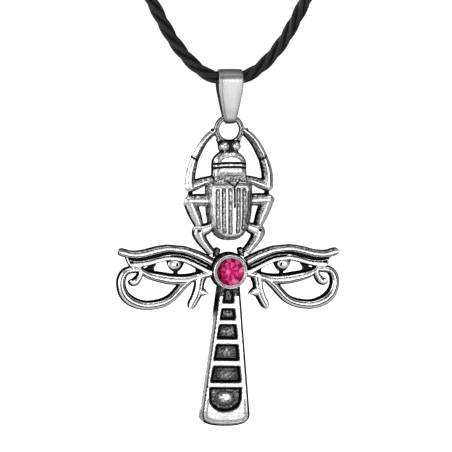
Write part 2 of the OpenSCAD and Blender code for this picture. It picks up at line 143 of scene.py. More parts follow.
RIDGE_SECTION: tuple[Band, ...] = (
    (-1, 0, Tone.BLACK), (-0.7, 0.9, Tone.LINE), (-0.35, 1, Tone.BRIGHT), (0.35, 1, Tone.BRIGHT), (0.7, 0.9, Tone.LINE),
    (1, 0, Tone.BLACK),
)
SHIN_SECTION: tuple[Band, ...] = (
    (-1, 0, Tone.BLACK), (-0.98, 0.35, Tone.BLACK), (-0.82, 0.52, Tone.BLACK), (-0.74, 0.6, Tone.HAMMERED),
    (-0.1, 0.88, Tone.PITTED), (0, 0.97, Tone.PITTED), (0.3, 1, Tone.BRIGHT), (0.7, 0.84, Tone.SATIN),
    (0.84, 0.7, Tone.WORN), (0.92, 0.6, Tone.SATIN), (0.98, 0.45, Tone.SATIN), (1, 0.25, Tone.DULL),
    (1, 0, Tone.PITTED),
)
THIGH_SECTION: tuple[Band, ...] = (
    (-1, 0, Tone.BLACK), (-0.97, 0.45, Tone.BLACK), (-0.78, 0.62, Tone.BLACK), (-0.72, 0.7, Tone.HAMMERED),
    (-0.2, 0.86, Tone.GREY), (-0.12, 0.98, Tone.SATIN), (0.24, 1, Tone.BRIGHT), (0.32, 0.9, Tone.LINE),
    (0.42, 0.88, Tone.GREY), (0.68, 0.8, Tone.SATIN), (0.84, 0.66, Tone.WORN), (0.97, 0.45, Tone.SATIN),
    (1, 0.25, Tone.DULL), (1, 0, Tone.PITTED),
)
FLAT_SECTION: tuple[Band, ...] = (
    (-1, 0, Tone.BLACK), (-0.95, 0.8, Tone.BLACK), (-0.85, 1, Tone.BLACK), (0.85, 1, Tone.BLACK),
    (0.95, 0.8, Tone.BLACK), (1, 0, Tone.BLACK),
)
FEATHER_SECTION: tuple[Band, ...] = (
    (-1, 0, Tone.BLACK), (-0.97, 0.55, Tone.BLACK), (-0.62, 0.74, Tone.LINE), (-0.52, 0.86, Tone.WORN),
    (-0.2, 0.94, Tone.BRIGHT), (-0.15, 0.86, Tone.LINE), (0, 0.86, Tone.LINE), (0.05, 0.97, Tone.BRIGHT),
    (0.5, 1, Tone.BRIGHT), (0.8, 0.86, Tone.SATIN), (0.88, 0.74, Tone.LINE), (0.98, 0.45, Tone.BLACK),
    (1, 0, Tone.BLACK),
)
# The ring's wire, from its outer side over the front to its inner side and round the back
RING_SECTION: tuple[Band, ...] = (
    (1, 0, Tone.BLACK), (0.93, 0.42, Tone.BLACK), (0.76, 0.76, Tone.BLACK), (0.68, 0.86, Tone.GREY),
    (0.5, 1, Tone.SATIN), (0.3, 1.08, Tone.WORN), (0.2, 1.06, Tone.BLACK), (0.06, 0.94, Tone.BLACK),
    (-0.08, 1.06, Tone.BLACK), (-0.16, 1.1, Tone.SATIN), (-0.45, 0.98, Tone.BRIGHT), (-0.56, 0.92, Tone.GREY),
    (-0.66, 0.82, Tone.BLACK), (-0.9, 0.5, Tone.BLACK), (-1, 0, Tone.BLACK), (-0.7, -0.75, Tone.DULL),
    (0, -1.1, Tone.SATIN), (0.7, -0.75, Tone.DULL),
)

# Eye wing rows: share of the reach, share of the rise, share of the bar's width, all in hundredths
BROW = (
    (98.9, 30.6, 52), (98, 30.2, 78), (96.4, 29.4, 90), (93.5, 28.2, 93), (89, 26, 91), (82.7, 25.5, 94),
    (76.8, 26.7, 95), (70.7, 29.4, 95), (64.7, 32, 94), (57.5, 34.3, 88), (53, 34.6, 85), (45.8, 33.4, 87),
    (39.5, 31.8, 93), (33.2, 28, 98), (26, 23.2, 101), (19.7, 17.7, 104), (15.5, 13.6, 105),
)
CHANNEL = (
    (89.5, 17.6, 60), (85.5, 15.8, 84), (82.3, 15.2, 96), (76.5, 16, 100), (70.6, 18.3, 100), (64.3, 20.8, 100),
    (57.1, 24, 100), (52.6, 25.2, 96), (45.4, 25, 96), (39.1, 22.8, 96), (32.8, 18.6, 100), (25.6, 12.3, 100),
    (19.3, 7.4, 105), (14.5, 3, 110),
)
UPPER_LID = (
    (89, 10, 44), (85.5, 9.6, 66), (82, 9.6, 74), (77.1, 10.8, 66), (71, 12.9, 60), (65, 16, 60), (57.8, 18.8, 58),
    (53.3, 19.8, 54), (46.1, 18.6, 56), (39.8, 16.4, 58), (33.5, 11.6, 60), (26.3, 5.4, 64), (20, -0.5, 72),
    (16, -3.4, 90),
)
LOWER_LID = (
    (80, 4, 70), (76, -1.2, 82), (70.8, -5.2, 103), (64.8, -7.8, 117), (57.6, -10.3, 126), (53.1, -11.7, 127),
    (45.9, -12.6, 124), (39.6, -12.3, 118), (33.3, -10.2, 105), (26.1, -6.4, 95), (16, -2.6, 100),
)
LOOP = (
    (79, 3, 64), (85, 2.2, 74), (90, 1.6, 86), (93.8, -2.6, 94), (96.2, -12.3, 104), (96.1, -23.1, 107),
    (93.7, -34.5, 117), (88.9, -43.4, 122), (82.3, -49.2, 116), (76.3, -51.8, 110), (70.8, -52.1, 108),
    (63.7, -50.4, 107), (57, -46.8, 104), (51, -40.2, 101), (45.9, -31.1, 102), (41.8, -23, 104), (36.4, -15.3, 88),
    (33, -10.5, 75),
)
HOOK = (
    (79, 1, 70), (79.9, -6, 74), (81.4, -10.8, 84), (83.3, -14.8, 94), (85.8, -16.6, 92), (87.8, -14.8, 74),
    (88.6, -13, 46),
)
FEATHER = (
    (24.8, -5, 128), (25.4, -11.5, 128), (26.2, -17, 116), (26.5, -22, 112), (27.3, -30, 116), (29.1, -38.6, 110),
    (30.3, -42.8, 103), (32.5, -49.8, 100), (33.9, -54.4, 78), (35, -57.6, 34),
)
SPIKE = ((27, -31.5, 120), (24, -32.2, 108), (21.6, -33, 80), (19.9, -34, 44), (18, -35.2, 8))
IRIS_STEM = ((47.6, 1, 42), (47.6, -6, 36))
IRIS_OUTLINE = (
    (55.8, 14), (55, 9.5), (53.6, 5), (51.8, 1.2), (49.4, -1.2), (46.6, -1.3), (44.3, 1), (42.3, 5), (40.6, 10.5),
    (40.2, 20), (55.8, 20),
)
EYE_CORNERS = (
    ((77, 3.2), (70, 8.5), (65, 10.5), (66.8, 6.5), (67.2, 3.5), (65.6, -1.5), (70, -1.5)),
    ((22, -2), (26, 3), (31.2, 6.5), (29.6, 2.5), (29.4, -1), (31, -5), (26, -5)),
)
END_WALL = ((91.8, 23, 34), (90.8, 17, 34), (88.4, 10, 38))
# The middle of the iris's dome and of the pit in it
IRIS_AT = (49.4, 10.7)
PUPIL_AT = (46.8, 10.1)

# Leg rows: share of the reach, share of the scarab's length, share of the leg's width, all in hundredths
FORE_SHIN = ((30, 99.5, 80), (46, 95.5, 93), (58, 91, 100), (68, 85.5, 106), (77, 79.5, 110))
FORE_THIGH = ((75, 81.5, 98), (81.5, 75, 117), (86, 68.5, 124), (86.3, 62, 127), (83.5, 58.4, 100))
SHOULDER = ((84, 60.2, 130), (69, 61.8, 118), (54, 63.6, 100), (25, 65.5, 90))
MID_THIGH = ((91, 50.5, 118), (71.5, 50.4, 142), (40, 50.2, 140))
MID_SHIN = ((87.5, 50, 140), (80.5, 44.5, 148), (73.5, 39, 138), (66, 33, 105))
HIND_THIGH = ((36, 34, 70), (48, 30.5, 125), (62, 29, 150))
HIND_SHIN = ((64, 29.5, 150), (66, 27, 155), (60.5, 22.5, 128), (50.5, 18, 110), (38, 13.2, 100))
KNEE_WEBS = (((84, 61, 45), (86, 50, 50)), ((70, 36, 60), (66, 29, 80)))
KNEES = ((86.6, 60, 122), (89.3, 50, 126), (65, 28.5, 150))

# Body rows: share of the half width and share of the scarab's length, in hundredths, from the foot up
CASE_OUTLINE = (
    (0, 21.6), (27, 22), (46, 23.3), (62, 25.5), (78, 29.5), (90, 34.5), (97, 41), (100, 50), (100, 61), (92, 64.4),
)
SHIELD_OUTLINE = (
    (97, 65.8), (102, 67), (101, 71), (101, 75.3), (98.5, 78), (90, 80.3), (75, 82.4), (56, 84), (30, 85.2),
)
HEAD_OUTLINE = ((54, 83), (54, 86), (70, 93))
# Each rib groove is its place across, and its foot and its top along the scarab, in hundredths
RIB_GROOVES = ((-60, 32, 57.5), (-34, 29, 58), (-6, 28.2, 58), (29, 29, 58.3), (54, 31, 58), (76, 35, 56))
# The groove between the wing cases, given in the same way
SUTURE = (13, 46, 61)

# Recess rows: top and foot as shares of the shaft's length, in hundredths, and the frame's width beside it in mm
RECESSES = ((11.5, 20, 0.7), (24, 30.8, 0.62), (34.2, 43.2, 0.57), (47, 57, 0.52), (61, 71.2, 0.5))
LAST_RECESS = (74.8, 90, 0.45)

# The bail's outline: share of the way down to the foot, share of the half width over the foot's, in hundredths
BAIL_TAPER = ((-40, 100), (13, 100), (26, 97), (40, 84), (53, 70), (66, 57), (80, 43), (93, 26), (107, 3), (125, -8))

# The cord's half route: x and z over its lowest point, in millimetres, from the bail to the clasp
ROUTE_HALF = (
    (0, 0), (2.5, 0.25), (5, 1.35), (8, 3.8), (11.5, 8.2), (15.5, 15.5), (20, 25), (33, 52), (40.5, 66), (48, 80),
    (55.5, 94), (62, 108), (66, 121.5), (65, 134.5), (57, 145.5), (44.5, 152), (31, 155.2), (20, 156), (15.5, 156),
    (10, 156),
)


def smooth(rows: Sequence[Row], steps: int) -> np.ndarray:
    """Lays a smooth curve through rows of numbers.

    Args:
        rows: The rows that the curve passes through.
        steps: How many rows replace each one.

    Returns:
        The denser rows, ending on the last one.
    """
    known = np.array(rows, dtype=float)
    made: list[np.ndarray] = []
    for i in range(len(known) - 1):
        p, q, r, s = known[max(i - 1, 0)], known[i], known[i + 1], known[min(i + 2, len(known) - 1)]
        for t in np.arange(steps) / steps:
            square, cube = (2 * p - 5 * q + 4 * r - s) * t**2, (3 * q - p - 3 * r + s) * t**3
            made.append(0.5 * (2 * q + (r - p) * t + square + cube))
    made.append(known[-1])
    return np.array(made)


def sized(rows: Sequence[Row], *sizes: float) -> list[tuple[float, ...]]:
    """Turns rows of hundredths into millimetres.

    Args:
        rows: Rows of shares.
        sizes: The size that each column is a share of.

    Returns:
        The same rows in millimetres.
    """
    return [tuple(share * size / 100 for share, size in zip(row, sizes)) for row in rows]


def headings(path: np.ndarray) -> np.ndarray:
    """Gives the unit direction in the plane at each row of a path."""
    ahead = np.vstack([path[1:, :2], path[-1:, :2]]) - np.vstack([path[:1, :2], path[:-1, :2]])
    return ahead / np.linalg.norm(ahead, axis=1)[:, None]


def both_sides(half: Sequence[Row]) -> list[tuple[float, float]]:
    """Closes half an outline with its mirror image, without doubling the points on the axis."""
    mirrored = [(-x, y) for x, y in reversed(half) if abs(x) > 1e-6]
    return [(x, y) for x, y in half] + mirrored


def casting_place() -> Matrix:
    """Gives the matrix from the casting's flat drawing in millimetres to the shared frame in metres."""
    upright = Matrix.Rotation(math.radians(90), 4, "X")
    return Matrix.Scale(MM, 4) @ Matrix.Translation((0, BACK_Y, STONE_Z)) @ upright


def loft_rings(part: bmesh.types.BMesh, rings: Sequence[Sequence[Row]], tones: Sequence[Sequence[Tone]] = ()) -> list:
    """Extrudes a closed outline from ring to ring and keeps no face inside.

    Args:
        part: The bmesh that takes the shape.
        rings: The outline's points at each step, all of equal count.
        tones: The finish of each point at each step, if the bmesh has those layers.

    Returns:
        The first and the last face.
    """
    place = part.verts.layers.int.get("place") or part.verts.layers.int.new("place")
    patina, mottle = part.verts.layers.float.get("patina"), part.verts.layers.float.get("mottle")
    corners = [part.verts.new(point) for point in rings[0]]
    for i, corner in enumerate(corners):
        corner[place] = i
        if tones:
            corner[patina], corner[mottle] = tones[0][i].value
    first = face = part.faces.new(corners)
    for step, ring in enumerate(rings[1:], start=1):
        made = bmesh.ops.extrude_face_region(part, geom=[face])["geom"]
        if step > 1:
            part.faces.remove(face)
        for corner in (item for item in made if isinstance(item, bmesh.types.BMVert)):
            i = corner[place]
            corner.co = ring[i]
            if tones:
                corner[patina], corner[mottle] = tones[step][i].value
        face = next(item for item in made if isinstance(item, bmesh.types.BMFace))
    return [first, face]


def spin(
    part: bmesh.types.BMesh, corners: list[bmesh.types.BMVert], centre: Row, axis: Row, steps: int, closed: bool = False
) -> None:
    """Spins a chain of corners all the way round an axis.

    Args:
        part: The bmesh that holds the corners.
        corners: The chain, in order.
        centre: A point on the axis.
        axis: The axis's direction.
        steps: How many steps make the full turn.
        closed: Whether the chain's last corner joins its first.
    """
    ends = corners[1:] + (corners[:1] if closed else [])
    edges = [part.edges.new(pair) for pair in zip(corners, ends)]
    bmesh.ops.spin(
        part, geom=corners + edges, cent=centre, axis=axis, angle=2 * math.pi, steps=steps, use_merge=True
    )


class Relief:
    """Collects overlapping closed solids in casting millimetres, each vertex with its own finish."""

    def __init__(self) -> None:
        """Starts empty."""
        self.solids = bmesh.new()
        self._layers(self.solids)

    @staticmethod
    def _layers(solids: bmesh.types.BMesh) -> tuple:
        """Adds the layers for the place in a ring, the patina and the hammering."""
        layers = solids.verts.layers
        return layers.int.new("place"), layers.float.new("patina"), layers.float.new("mottle")

    def _take(self, part: bmesh.types.BMesh) -> None:
        """Adds a closed solid with its faces outwards and frees it."""
        bmesh.ops.recalc_face_normals(part, faces=part.faces)
        held = bpy.data.meshes.new("held")
        part.to_mesh(held)
        part.free()
        self.solids.from_mesh(held)
        bpy.data.meshes.remove(held)

    def loft(self, rings: Sequence[Sequence[Row]], tones: Sequence[Sequence[Tone]]) -> None:
        """Extrudes a closed outline from ring to ring.

        Args:
            rings: The outline's points at each step, all of equal count.
            tones: The finish of each point at each step.
        """
        part = bmesh.new()
        self._layers(part)
        loft_rings(part, rings, tones)
        self._take(part)

    def bar(self, rows: Sequence[Row], height: float, section: Sequence[Band], steps: int = 6) -> None:
        """Sweeps a section along a path on the flat back.

        Args:
            rows: x, y and width of the bar along its path, in millimetres.
            height: Height of the bar above the back.
            section: Bands from the right hand of the path to its left.
            steps: How many rings lie between two rows.
        """
        path = smooth(rows, steps)
        ahead = headings(path)
        rings = []
        for (x, y, width), (dx, dy) in zip(path, ahead):
            rings.append([
                (x - dy * across * width / 2, y + dx * across * width / 2, up * height) for across, up, _ in section
            ])
        tones = [[tone for _, _, tone in section]] * len(rings)
        self.loft(rings, tones)

    def mound(self, outline: Sequence[Row], levels: Sequence[tuple[float, float, Tone]]) -> None:
        """Raises a convex outline in levels that draw in towards its middle.

        Args:
            outline: The closed outline on the flat back.
            levels: For each level its inset and its height in millimetres, and its tone.
        """
        flat = np.array(outline, dtype=float)
        low, high = flat.min(axis=0), flat.max(axis=0)
        middle, half = (low + high) / 2, (high - low) / 2
        rings, tones = [[(x, y, 0.0) for x, y in flat]], [[levels[0][2]] * len(flat)]
        for inset, height, tone in levels:
            drawn = middle + (flat - middle) * (1 - inset / half)
            rings.append([(x, y, height) for x, y in drawn])
            tones.append([tone] * len(flat))
        self.loft(rings, tones)

    def ball(self, at: Row, radii: Row, tone: Tone) -> None:
        """Sets a ball with its own radius along each axis.

        Args:
            at: Its centre.
            radii: Its radii along x, y and z.
            tone: Its finish.
        """
        part = bmesh.new()
        _, patina, mottle = self._layers(part)
        matrix = Matrix.Translation(at) @ Matrix.Diagonal((*radii, 1))
        for corner in bmesh.ops.create_uvsphere(part, u_segments=28, v_segments=18, radius=1, matrix=matrix)["verts"]:
            corner[patina], corner[mottle] = tone.value
        self._take(part)

    def hoop(self, at: Row, mean: float, section: Sequence[Band], half_width: float, height: float) -> None:
        """Spins a section about an upright axis.

        Args:
            at: The hoop's centre on the flat back.
            mean: Radius of the section's middle.
            section: Bands from the inside out, in shares of the half width and of the height.
            half_width: Half of the section's width.
            height: The section's height.
        """
        part = bmesh.new()
        _, patina, mottle = self._layers(part)
        corners = []
        for across, up, tone in section:
            corner = part.verts.new((at[0] + mean + across * half_width, at[1], at[2] + up * height))
            corner[patina], corner[mottle] = tone.value
            corners.append(corner)
        spin(part, corners, at, (0, 0, 1), 120, closed=True)
        self._take(part)


class Casting:
    """A fused casting: one closed skin over a relief's solids, which tools then engrave."""

    def __init__(self, name: str, relief: Relief, voxel: float, relax: int = 1) -> None:
        """Fuses the solids and carries their finish over to the skin.

        Args:
            name: The piece's name.
            relief: The solids, in millimetres.
            voxel: The skin's cell size in millimetres.
            relax: How many times the skin is smoothed.
        """
        self.name = name
        raw = bpy.data.meshes.new(name + "_solids")
        relief.solids.to_mesh(raw)
        holder = bpy.data.objects.new(name + "_solids", raw)
        bpy.context.scene.collection.objects.link(holder)
        fuse = holder.modifiers.new("fuse", "REMESH")
        fuse.mode, fuse.voxel_size, fuse.adaptivity = "VOXEL", voxel, 0
        graph = bpy.context.evaluated_depsgraph_get()
        self.mesh = bpy.data.meshes.new_from_object(holder.evaluated_get(graph))
        self.mesh.name = name
        bpy.data.objects.remove(holder)
        bpy.data.meshes.remove(raw)
        self._carry_finish(relief)
        self._relax(relax)
        self.points = self._read("co", 3)
        self.normals = np.empty(len(self.mesh.vertices) * 3)
        self.mesh.vertex_normals.foreach_get("vector", self.normals)
        self.normals = self.normals.reshape(-1, 3)
        self._brush_back()

    def _brush_back(self) -> None:
        """Leaves the flat back plain and a little dull."""
        back = self.normals[:, 2] < BACK_NORMAL
        self.patina[back], self.mottle[back] = Tone.DULL.value

    def _read(self, field: str, width: int) -> np.ndarray:
        """Reads a field of all the vertices."""
        held = np.empty(len(self.mesh.vertices) * width)
        self.mesh.vertices.foreach_get(field, held)
        return held.reshape(-1, width)

    def _carry_finish(self, relief: Relief) -> None:
        """Gives each vertex of the skin the finish of the nearest place on the solids."""
        solids = relief.solids
        solids.faces.ensure_lookup_table()
        tree = BVHTree.FromBMesh(solids)
        patina, mottle = (solids.verts.layers.float[key] for key in ("patina", "mottle"))
        found = np.empty((len(self.mesh.vertices), 2))
        for i, vertex in enumerate(self.mesh.vertices):
            at, _, index, _ = tree.find_nearest(vertex.co)
            corners = solids.faces[index].verts
            shares = poly_3d_calc([corner.co for corner in corners], at)
            found[i, 0] = sum(share * corner[patina] for share, corner in zip(shares, corners))
            found[i, 1] = sum(share * corner[mottle] for share, corner in zip(shares, corners))
        self.patina, self.mottle = found[:, 0], found[:, 1]
        solids.free()

    def _relax(self, times: int) -> None:
        """Smooths the skin's cell steps."""
        skin = bmesh.new()
        skin.from_mesh(self.mesh)
        for _ in range(times):
            bmesh.ops.smooth_vert(
                skin, verts=skin.verts, factor=0.5, use_axis_x=True, use_axis_y=True, use_axis_z=True
            )
        skin.to_mesh(self.mesh)
        skin.free()

    def _within(self, low: Row, high: Row, above: float) -> np.ndarray:
        """Tells which points lie inside a rectangle of the drawing and over a height."""
        flat = self.points[:, :2]
        return (flat > low).all(axis=1) & (flat < high).all(axis=1) & (self.points[:, 2] > above)

    def engrave(
        self, line: Sequence[Row], width: float, depth: float, tone: Tone = Tone.LINE, above: float = 0.0
    ) -> None:
        """Cuts a groove along a line in the drawing's plane and blackens it.

        Args:
            line: x and y of the groove's points in millimetres.
            width: The groove's full width.
            depth: Its depth at the middle.
            tone: The finish left in it.
            above: Only points over this height are cut.
        """
        path = np.array(line, dtype=float)[:, :2]
        low, high = path.min(axis=0) - width, path.max(axis=0) + width
        flat = self.points[:, :2]
        near = np.flatnonzero(self._within(low, high, above) & (self.normals[:, 2] > FRONT_NORMAL))
        gap = np.full(len(near), 1e9)
        for a, b in zip(path[:-1], path[1:]):
            span = b - a
            share = np.clip(((flat[near] - a) @ span) / (span @ span), 0, 1)
            gap = np.minimum(gap, np.linalg.norm(flat[near] - a - share[:, None] * span, axis=1))
        cut = np.clip(1 - (2 * gap / width) ** 2, 0, 1)
        self.points[near, 2] -= depth * cut
        taken = np.minimum(1.5 * np.sqrt(cut), 1)
        self.patina[near] += (tone.value[0] - self.patina[near]) * taken
        self.mottle[near] += (tone.value[1] - self.mottle[near]) * taken

    def shade(self, low: Row, high: Row, tone: Tone, above: float) -> None:
        """Gives the skin inside a rectangle of the drawing another finish.

        Args:
            low: The rectangle's left foot.
            high: Its right top.
            tone: The finish.
            above: Only points over this height take it.
        """
        held = self._within(low, high, above)
        self.patina[held] = np.maximum(self.patina[held], tone.value[0])
        self.mottle[held] = np.maximum(self.mottle[held], tone.value[1])

    def hammer(self, size: float, depth: float, even: float = 0.0) -> None:
        """Dents the hammered places at random.

        Args:
            size: Size of a dent in millimetres.
            depth: Depth of a dent where the finish is fully hammered.
            even: The least share of that depth, for smooth places.
        """
        amount = depth * np.maximum(self.mottle, even)
        field = np.array([noise.noise(Vector(point) / size) for point in self.points])
        self.points += self.normals * (amount * field)[:, None]

    def finish(self, place: Matrix) -> bpy.types.Object:
        """Writes the points and the finish to the mesh and puts it in its place.

        Args:
            place: The matrix from millimetres to the shared frame.

        Returns:
            The piece's object.
        """
        self.mesh.vertices.foreach_set("co", self.points.ravel())
        for key, values in (("patina", self.patina), ("mottle", self.mottle)):
            layer = self.mesh.attributes.new(key, "FLOAT", "POINT")
            layer.data.foreach_set("value", np.clip(values, 0, 1).astype(np.float32))
        self.mesh.transform(place)
        self.mesh.update()
        return shown(self.name, self.mesh)


def shown(name: str, mesh: bpy.types.Mesh) -> bpy.types.Object:
    """Makes a mesh a smooth shaded object of the scene.

    Args:
        name: The object's name.
        mesh: Its mesh, already in its place.

    Returns:
        The object.
    """
    mesh.name = name
    mesh.polygons.foreach_set("use_smooth", [True] * len(mesh.polygons))
    piece = bpy.data.objects.new(name, mesh)
    bpy.context.scene.collection.objects.link(piece)
    return piece


def from_bmesh(name: str, part: bmesh.types.BMesh, place: Matrix) -> bpy.types.Object:
    """Makes an object of a bmesh with outward faces and frees the bmesh.

    Args:
        name: The object's name.
        part: The shape, in millimetres.
        place: The matrix to the shared frame.

    Returns:
        The object.
    """
    bmesh.ops.recalc_face_normals(part, faces=part.faces)
    bmesh.ops.transform(part, matrix=place, verts=part.verts)
    mesh = bpy.data.meshes.new(name)
    part.to_mesh(mesh)
    part.free()
    return shown(name, mesh)


class Graph:
    """A small helper that builds a material's nodes by name."""

    def __init__(self, name: str) -> None:
        """Starts a material with a Principled shader."""
        self.material = bpy.data.materials.new(name)
        self.material.use_nodes = True
        self.tree = self.material.node_tree
        self.shader = self.tree.nodes["Principled BSDF"]

    def node(self, kind: str, **settings: object) -> bpy.types.ShaderNode:
        """Adds a node and sets its properties and its sockets' values."""
        made = self.tree.nodes.new(kind)
        for key, value in settings.items():
            if hasattr(made, key):
                setattr(made, key, value)
            else:
                made.inputs[key.replace("_", " ")].default_value = value
        return made

    def fill(self, socket: bpy.types.NodeSocket, value: object) -> None:
        """Links a socket to another one, or sets its own value."""
        if isinstance(value, bpy.types.NodeSocket):
            self.tree.links.new(value, socket)
        else:
            socket.default_value = value

    def surface(self, **values: object) -> None:
        """Fills the shader's sockets by their names, with an underscore for each space."""
        for key, value in values.items():
            self.fill(self.shader.inputs[key.replace("_", " ")], value)

    def attribute(self, key: str) -> bpy.types.NodeSocket:
        """Gives the value of a mesh attribute."""
        return self.node("ShaderNodeAttribute", attribute_name=key).outputs["Fac"]

    def math(self, operation: str, first: object, second: object = 0.0, third: object = 0.0) -> bpy.types.NodeSocket:
        """Does sums on sockets and numbers."""
        made = self.node("ShaderNodeMath", operation=operation)
        for socket, value in zip(made.inputs, (first, second, third)):
            self.fill(socket, value)
        return made.outputs[0]

    def swing(self, value: bpy.types.NodeSocket, amount: object) -> bpy.types.NodeSocket:
        """Gives how far a value lies from a half, times an amount."""
        return self.math("MULTIPLY", self.math("SUBTRACT", value, 0.5), amount)

    def ramp(self, value: bpy.types.NodeSocket, stops: Iterable[tuple[float, tuple]]) -> bpy.types.NodeSocket:
        """Maps a value to colours."""
        made = self.node("ShaderNodeValToRGB")
        elements = made.color_ramp.elements
        stops = list(stops)
        for element, (at, colour) in zip(elements, (stops[0], stops[-1])):
            element.position, element.color = at, (*colour, 1)
        for at, colour in stops[1:-1]:
            elements.new(at).color = (*colour, 1)
        self.fill(made.inputs["Fac"], value)
        return made.outputs["Color"]

    def noise(
        self, scale: float, detail: float = 3.0, coordinate: str = "Object", stretch: Row = (1, 1, 1)
    ) -> bpy.types.NodeSocket:
        """Gives noise of a scale per metre on one of the piece's own coordinates."""
        where = self.node("ShaderNodeTexCoord").outputs[coordinate]
        if tuple(stretch) != (1, 1, 1):
            turned = self.node("ShaderNodeMapping", Scale=tuple(stretch))
            self.fill(turned.inputs["Vector"], where)
            where = turned.outputs["Vector"]
        made = self.node("ShaderNodeTexNoise", Scale=scale, Detail=detail, Roughness=0.6)
        self.fill(made.inputs["Vector"], where)
        return made.outputs["Fac"]

    def bump(self, height: bpy.types.NodeSocket, strength: float, distance: float) -> None:
        """Adds a bump of some depth in metres to the shader's normal."""
        made = self.node("ShaderNodeBump", Strength=strength, Distance=distance)
        self.fill(made.inputs["Height"], height)
        previous = self.shader.inputs["Normal"].links
        if previous:
            self.fill(made.inputs["Normal"], previous[0].from_socket)
        self.surface(Normal=made.outputs["Normal"])


@dataclass(frozen=True)
class AntiqueSilver:
    """Cast white metal, polished on its high places and black in its recesses."""

    silver: tuple = (0.86, 0.86, 0.865)
    film: tuple = (0.36, 0.36, 0.365)
    smoke: tuple = (0.09, 0.09, 0.092)
    soot: tuple = (0.012, 0.012, 0.013)
    grain: float = 4200.0
    dents: float = 2300.0

    def build(self, name: str) -> bpy.types.Material:
        """Builds the material under a name."""
        g = Graph(name)
        # The patina layer is the black patina in the recesses, and on the shaft it also carries painted shade and
        # painted light
        patina, mottle = g.attribute("patina"), g.attribute("mottle")
        dents, grain = g.noise(self.dents, 4), g.noise(self.grain, 2)
        worn = g.swing(dents, g.math("MULTIPLY_ADD", mottle, 2.1, 0.12))
        speck = g.swing(grain, g.math("MULTIPLY_ADD", mottle, 0.9, 0.25))
        black = g.math("ADD", g.math("ADD", patina, worn), speck)
        colour = g.ramp(black, ((0.08, self.silver), (0.42, self.film), (0.68, self.smoke), (0.92, self.soot)))
        rough = g.math("ADD", g.math("MULTIPLY_ADD", black, 0.26, 0.24), g.swing(grain, 0.12))
        g.surface(Base_Color=colour, Specular_Tint=colour, Roughness=rough, Metallic=1)
        g.bump(g.math("MULTIPLY", dents, mottle), 0.7, 0.00012)
        g.bump(grain, 0.35, 0.00003)
        return g.material


@dataclass(frozen=True)
class SatinMetal:
    """Stainless sheet or bar with a fine satin grain."""

    colour: tuple = (0.82, 0.82, 0.825)
    roughness: float = 0.3
    stretch: tuple = (1, 1, 1)
    shaded: bool = False

    def build(self, name: str) -> bpy.types.Material:
        """Builds the material under a name."""
        g = Graph(name)
        streak = g.noise(2600, 3, stretch=self.stretch)
        cloud = g.noise(420, 2)
        # With shaded set, the colour follows the mesh's shade layer of painted light and shade
        given = g.attribute("shade") if self.shaded else 0.95
        shade = g.math("ADD", g.swing(cloud, 0.12), given)
        darker = tuple(channel * 0.1 for channel in self.colour)
        g.surface(
            Base_Color=g.ramp(shade, ((0.0, darker), (1.0, self.colour))),
            Roughness=g.math("MULTIPLY_ADD", streak, 0.14, self.roughness - 0.07), Metallic=1,
        )
        g.bump(streak, 0.12, 0.00002)
        return g.material


@dataclass(frozen=True)
class WaxedCord:
    """Black waxed cord: fine fibres along each strand, with a dull sheen, painted light on the strands' crests and
    painted shade between them.
    """

    dark: tuple = (0.002, 0.002, 0.0025)
    # The worn colour is that of lighter, worn fibres, and it also paints highlights along the strands
    worn: tuple = (0.055, 0.055, 0.058)

    def build(self, name: str) -> bpy.types.Material:
        """Builds the material under a name."""
        g = Graph(name)
        fibres = g.noise(1.0, 3, "UV", (90, 1.1, 1))
        threads = g.noise(1.0, 2, "UV", (30, 5, 1))
        shade = g.math("ADD", g.math("MULTIPLY", fibres, 0.65), g.math("MULTIPLY", threads, 0.35))
        # Painted shade and light: darker in the valleys between the strands, lighter on their crests
        crest_shade = g.math("MULTIPLY_ADD", g.attribute("crest_shade"), 0.22, -0.14)
        g.surface(
            Base_Color=g.ramp(g.math("ADD", shade, crest_shade), ((0.48, self.dark), (0.76, self.worn))),
            Roughness=g.math("MULTIPLY_ADD", fibres, -0.3, 0.66), Specular_IOR_Level=0.28, Sheen_Weight=0.02,
        )
        g.bump(shade, 0.9, 0.00018)
        return g.material


@dataclass(frozen=True)
class CutStone:
    """Red glass cut in facets, with a bright foil under it."""

    rim: tuple = (1.0, 0.5, 0.72)
    wine: tuple = (0.11, 0.004, 0.03)
    ruby: tuple = (0.54, 0.03, 0.2)
    pink: tuple = (1.0, 0.42, 0.72)
    # The spark colour is a painted sparkle, and glow makes the foil glow though it is no lamp, as painted light
    spark: tuple = (1.0, 0.9, 0.95)
    glow: float = 0.13

    def glass(self, name: str) -> bpy.types.Material:
        """Builds the clear glass of the crown."""
        g = Graph(name)
        g.surface(
            Base_Color=(*self.rim, 1), Roughness=g.math("MULTIPLY_ADD", g.noise(900, 2), 0.03, 0.01),
            Transmission_Weight=1, IOR=1.35, Specular_Tint=(0.4, 0.05, 0.16, 1),
        )
        return g.material

    def foil(self, name: str) -> bpy.types.Material:
        """Builds the coloured foil, each facet with its own painted reflection, from dark wine to a white sparkle, and
        a faint painted glow.
        """
        g = Graph(name)
        mixed = g.math("ADD", g.attribute("facet"), g.swing(g.noise(2600, 2), 0.35))
        colour = g.ramp(mixed, ((0.12, self.wine), (0.58, self.ruby), (0.84, self.pink), (1.0, self.spark)))
        g.surface(
            Base_Color=colour, Emission_Color=colour, Emission_Strength=self.glow, Metallic=0.35, Roughness=0.42,
            Specular_IOR_Level=0.15,
        )
        return g.material


@dataclass(frozen=True)
class Paper:
    """Plain white paper for the floor, overexposed as in a catalogue picture."""

    colour: tuple = (0.8, 0.8, 0.8)

    def build(self, name: str) -> bpy.types.Material:
        """Builds the material under a name."""
        g = Graph(name)
        darker = tuple(channel * 0.98 for channel in self.colour)
        g.surface(
            Base_Color=g.ramp(g.noise(14, 2), ((0.3, darker), (0.7, self.colour))), Roughness=0.9,
            Emission_Color=(1, 1, 1, 1), Emission_Strength=g.node("ShaderNodeLightPath").outputs["Is Camera Ray"],
        )
        return g.material


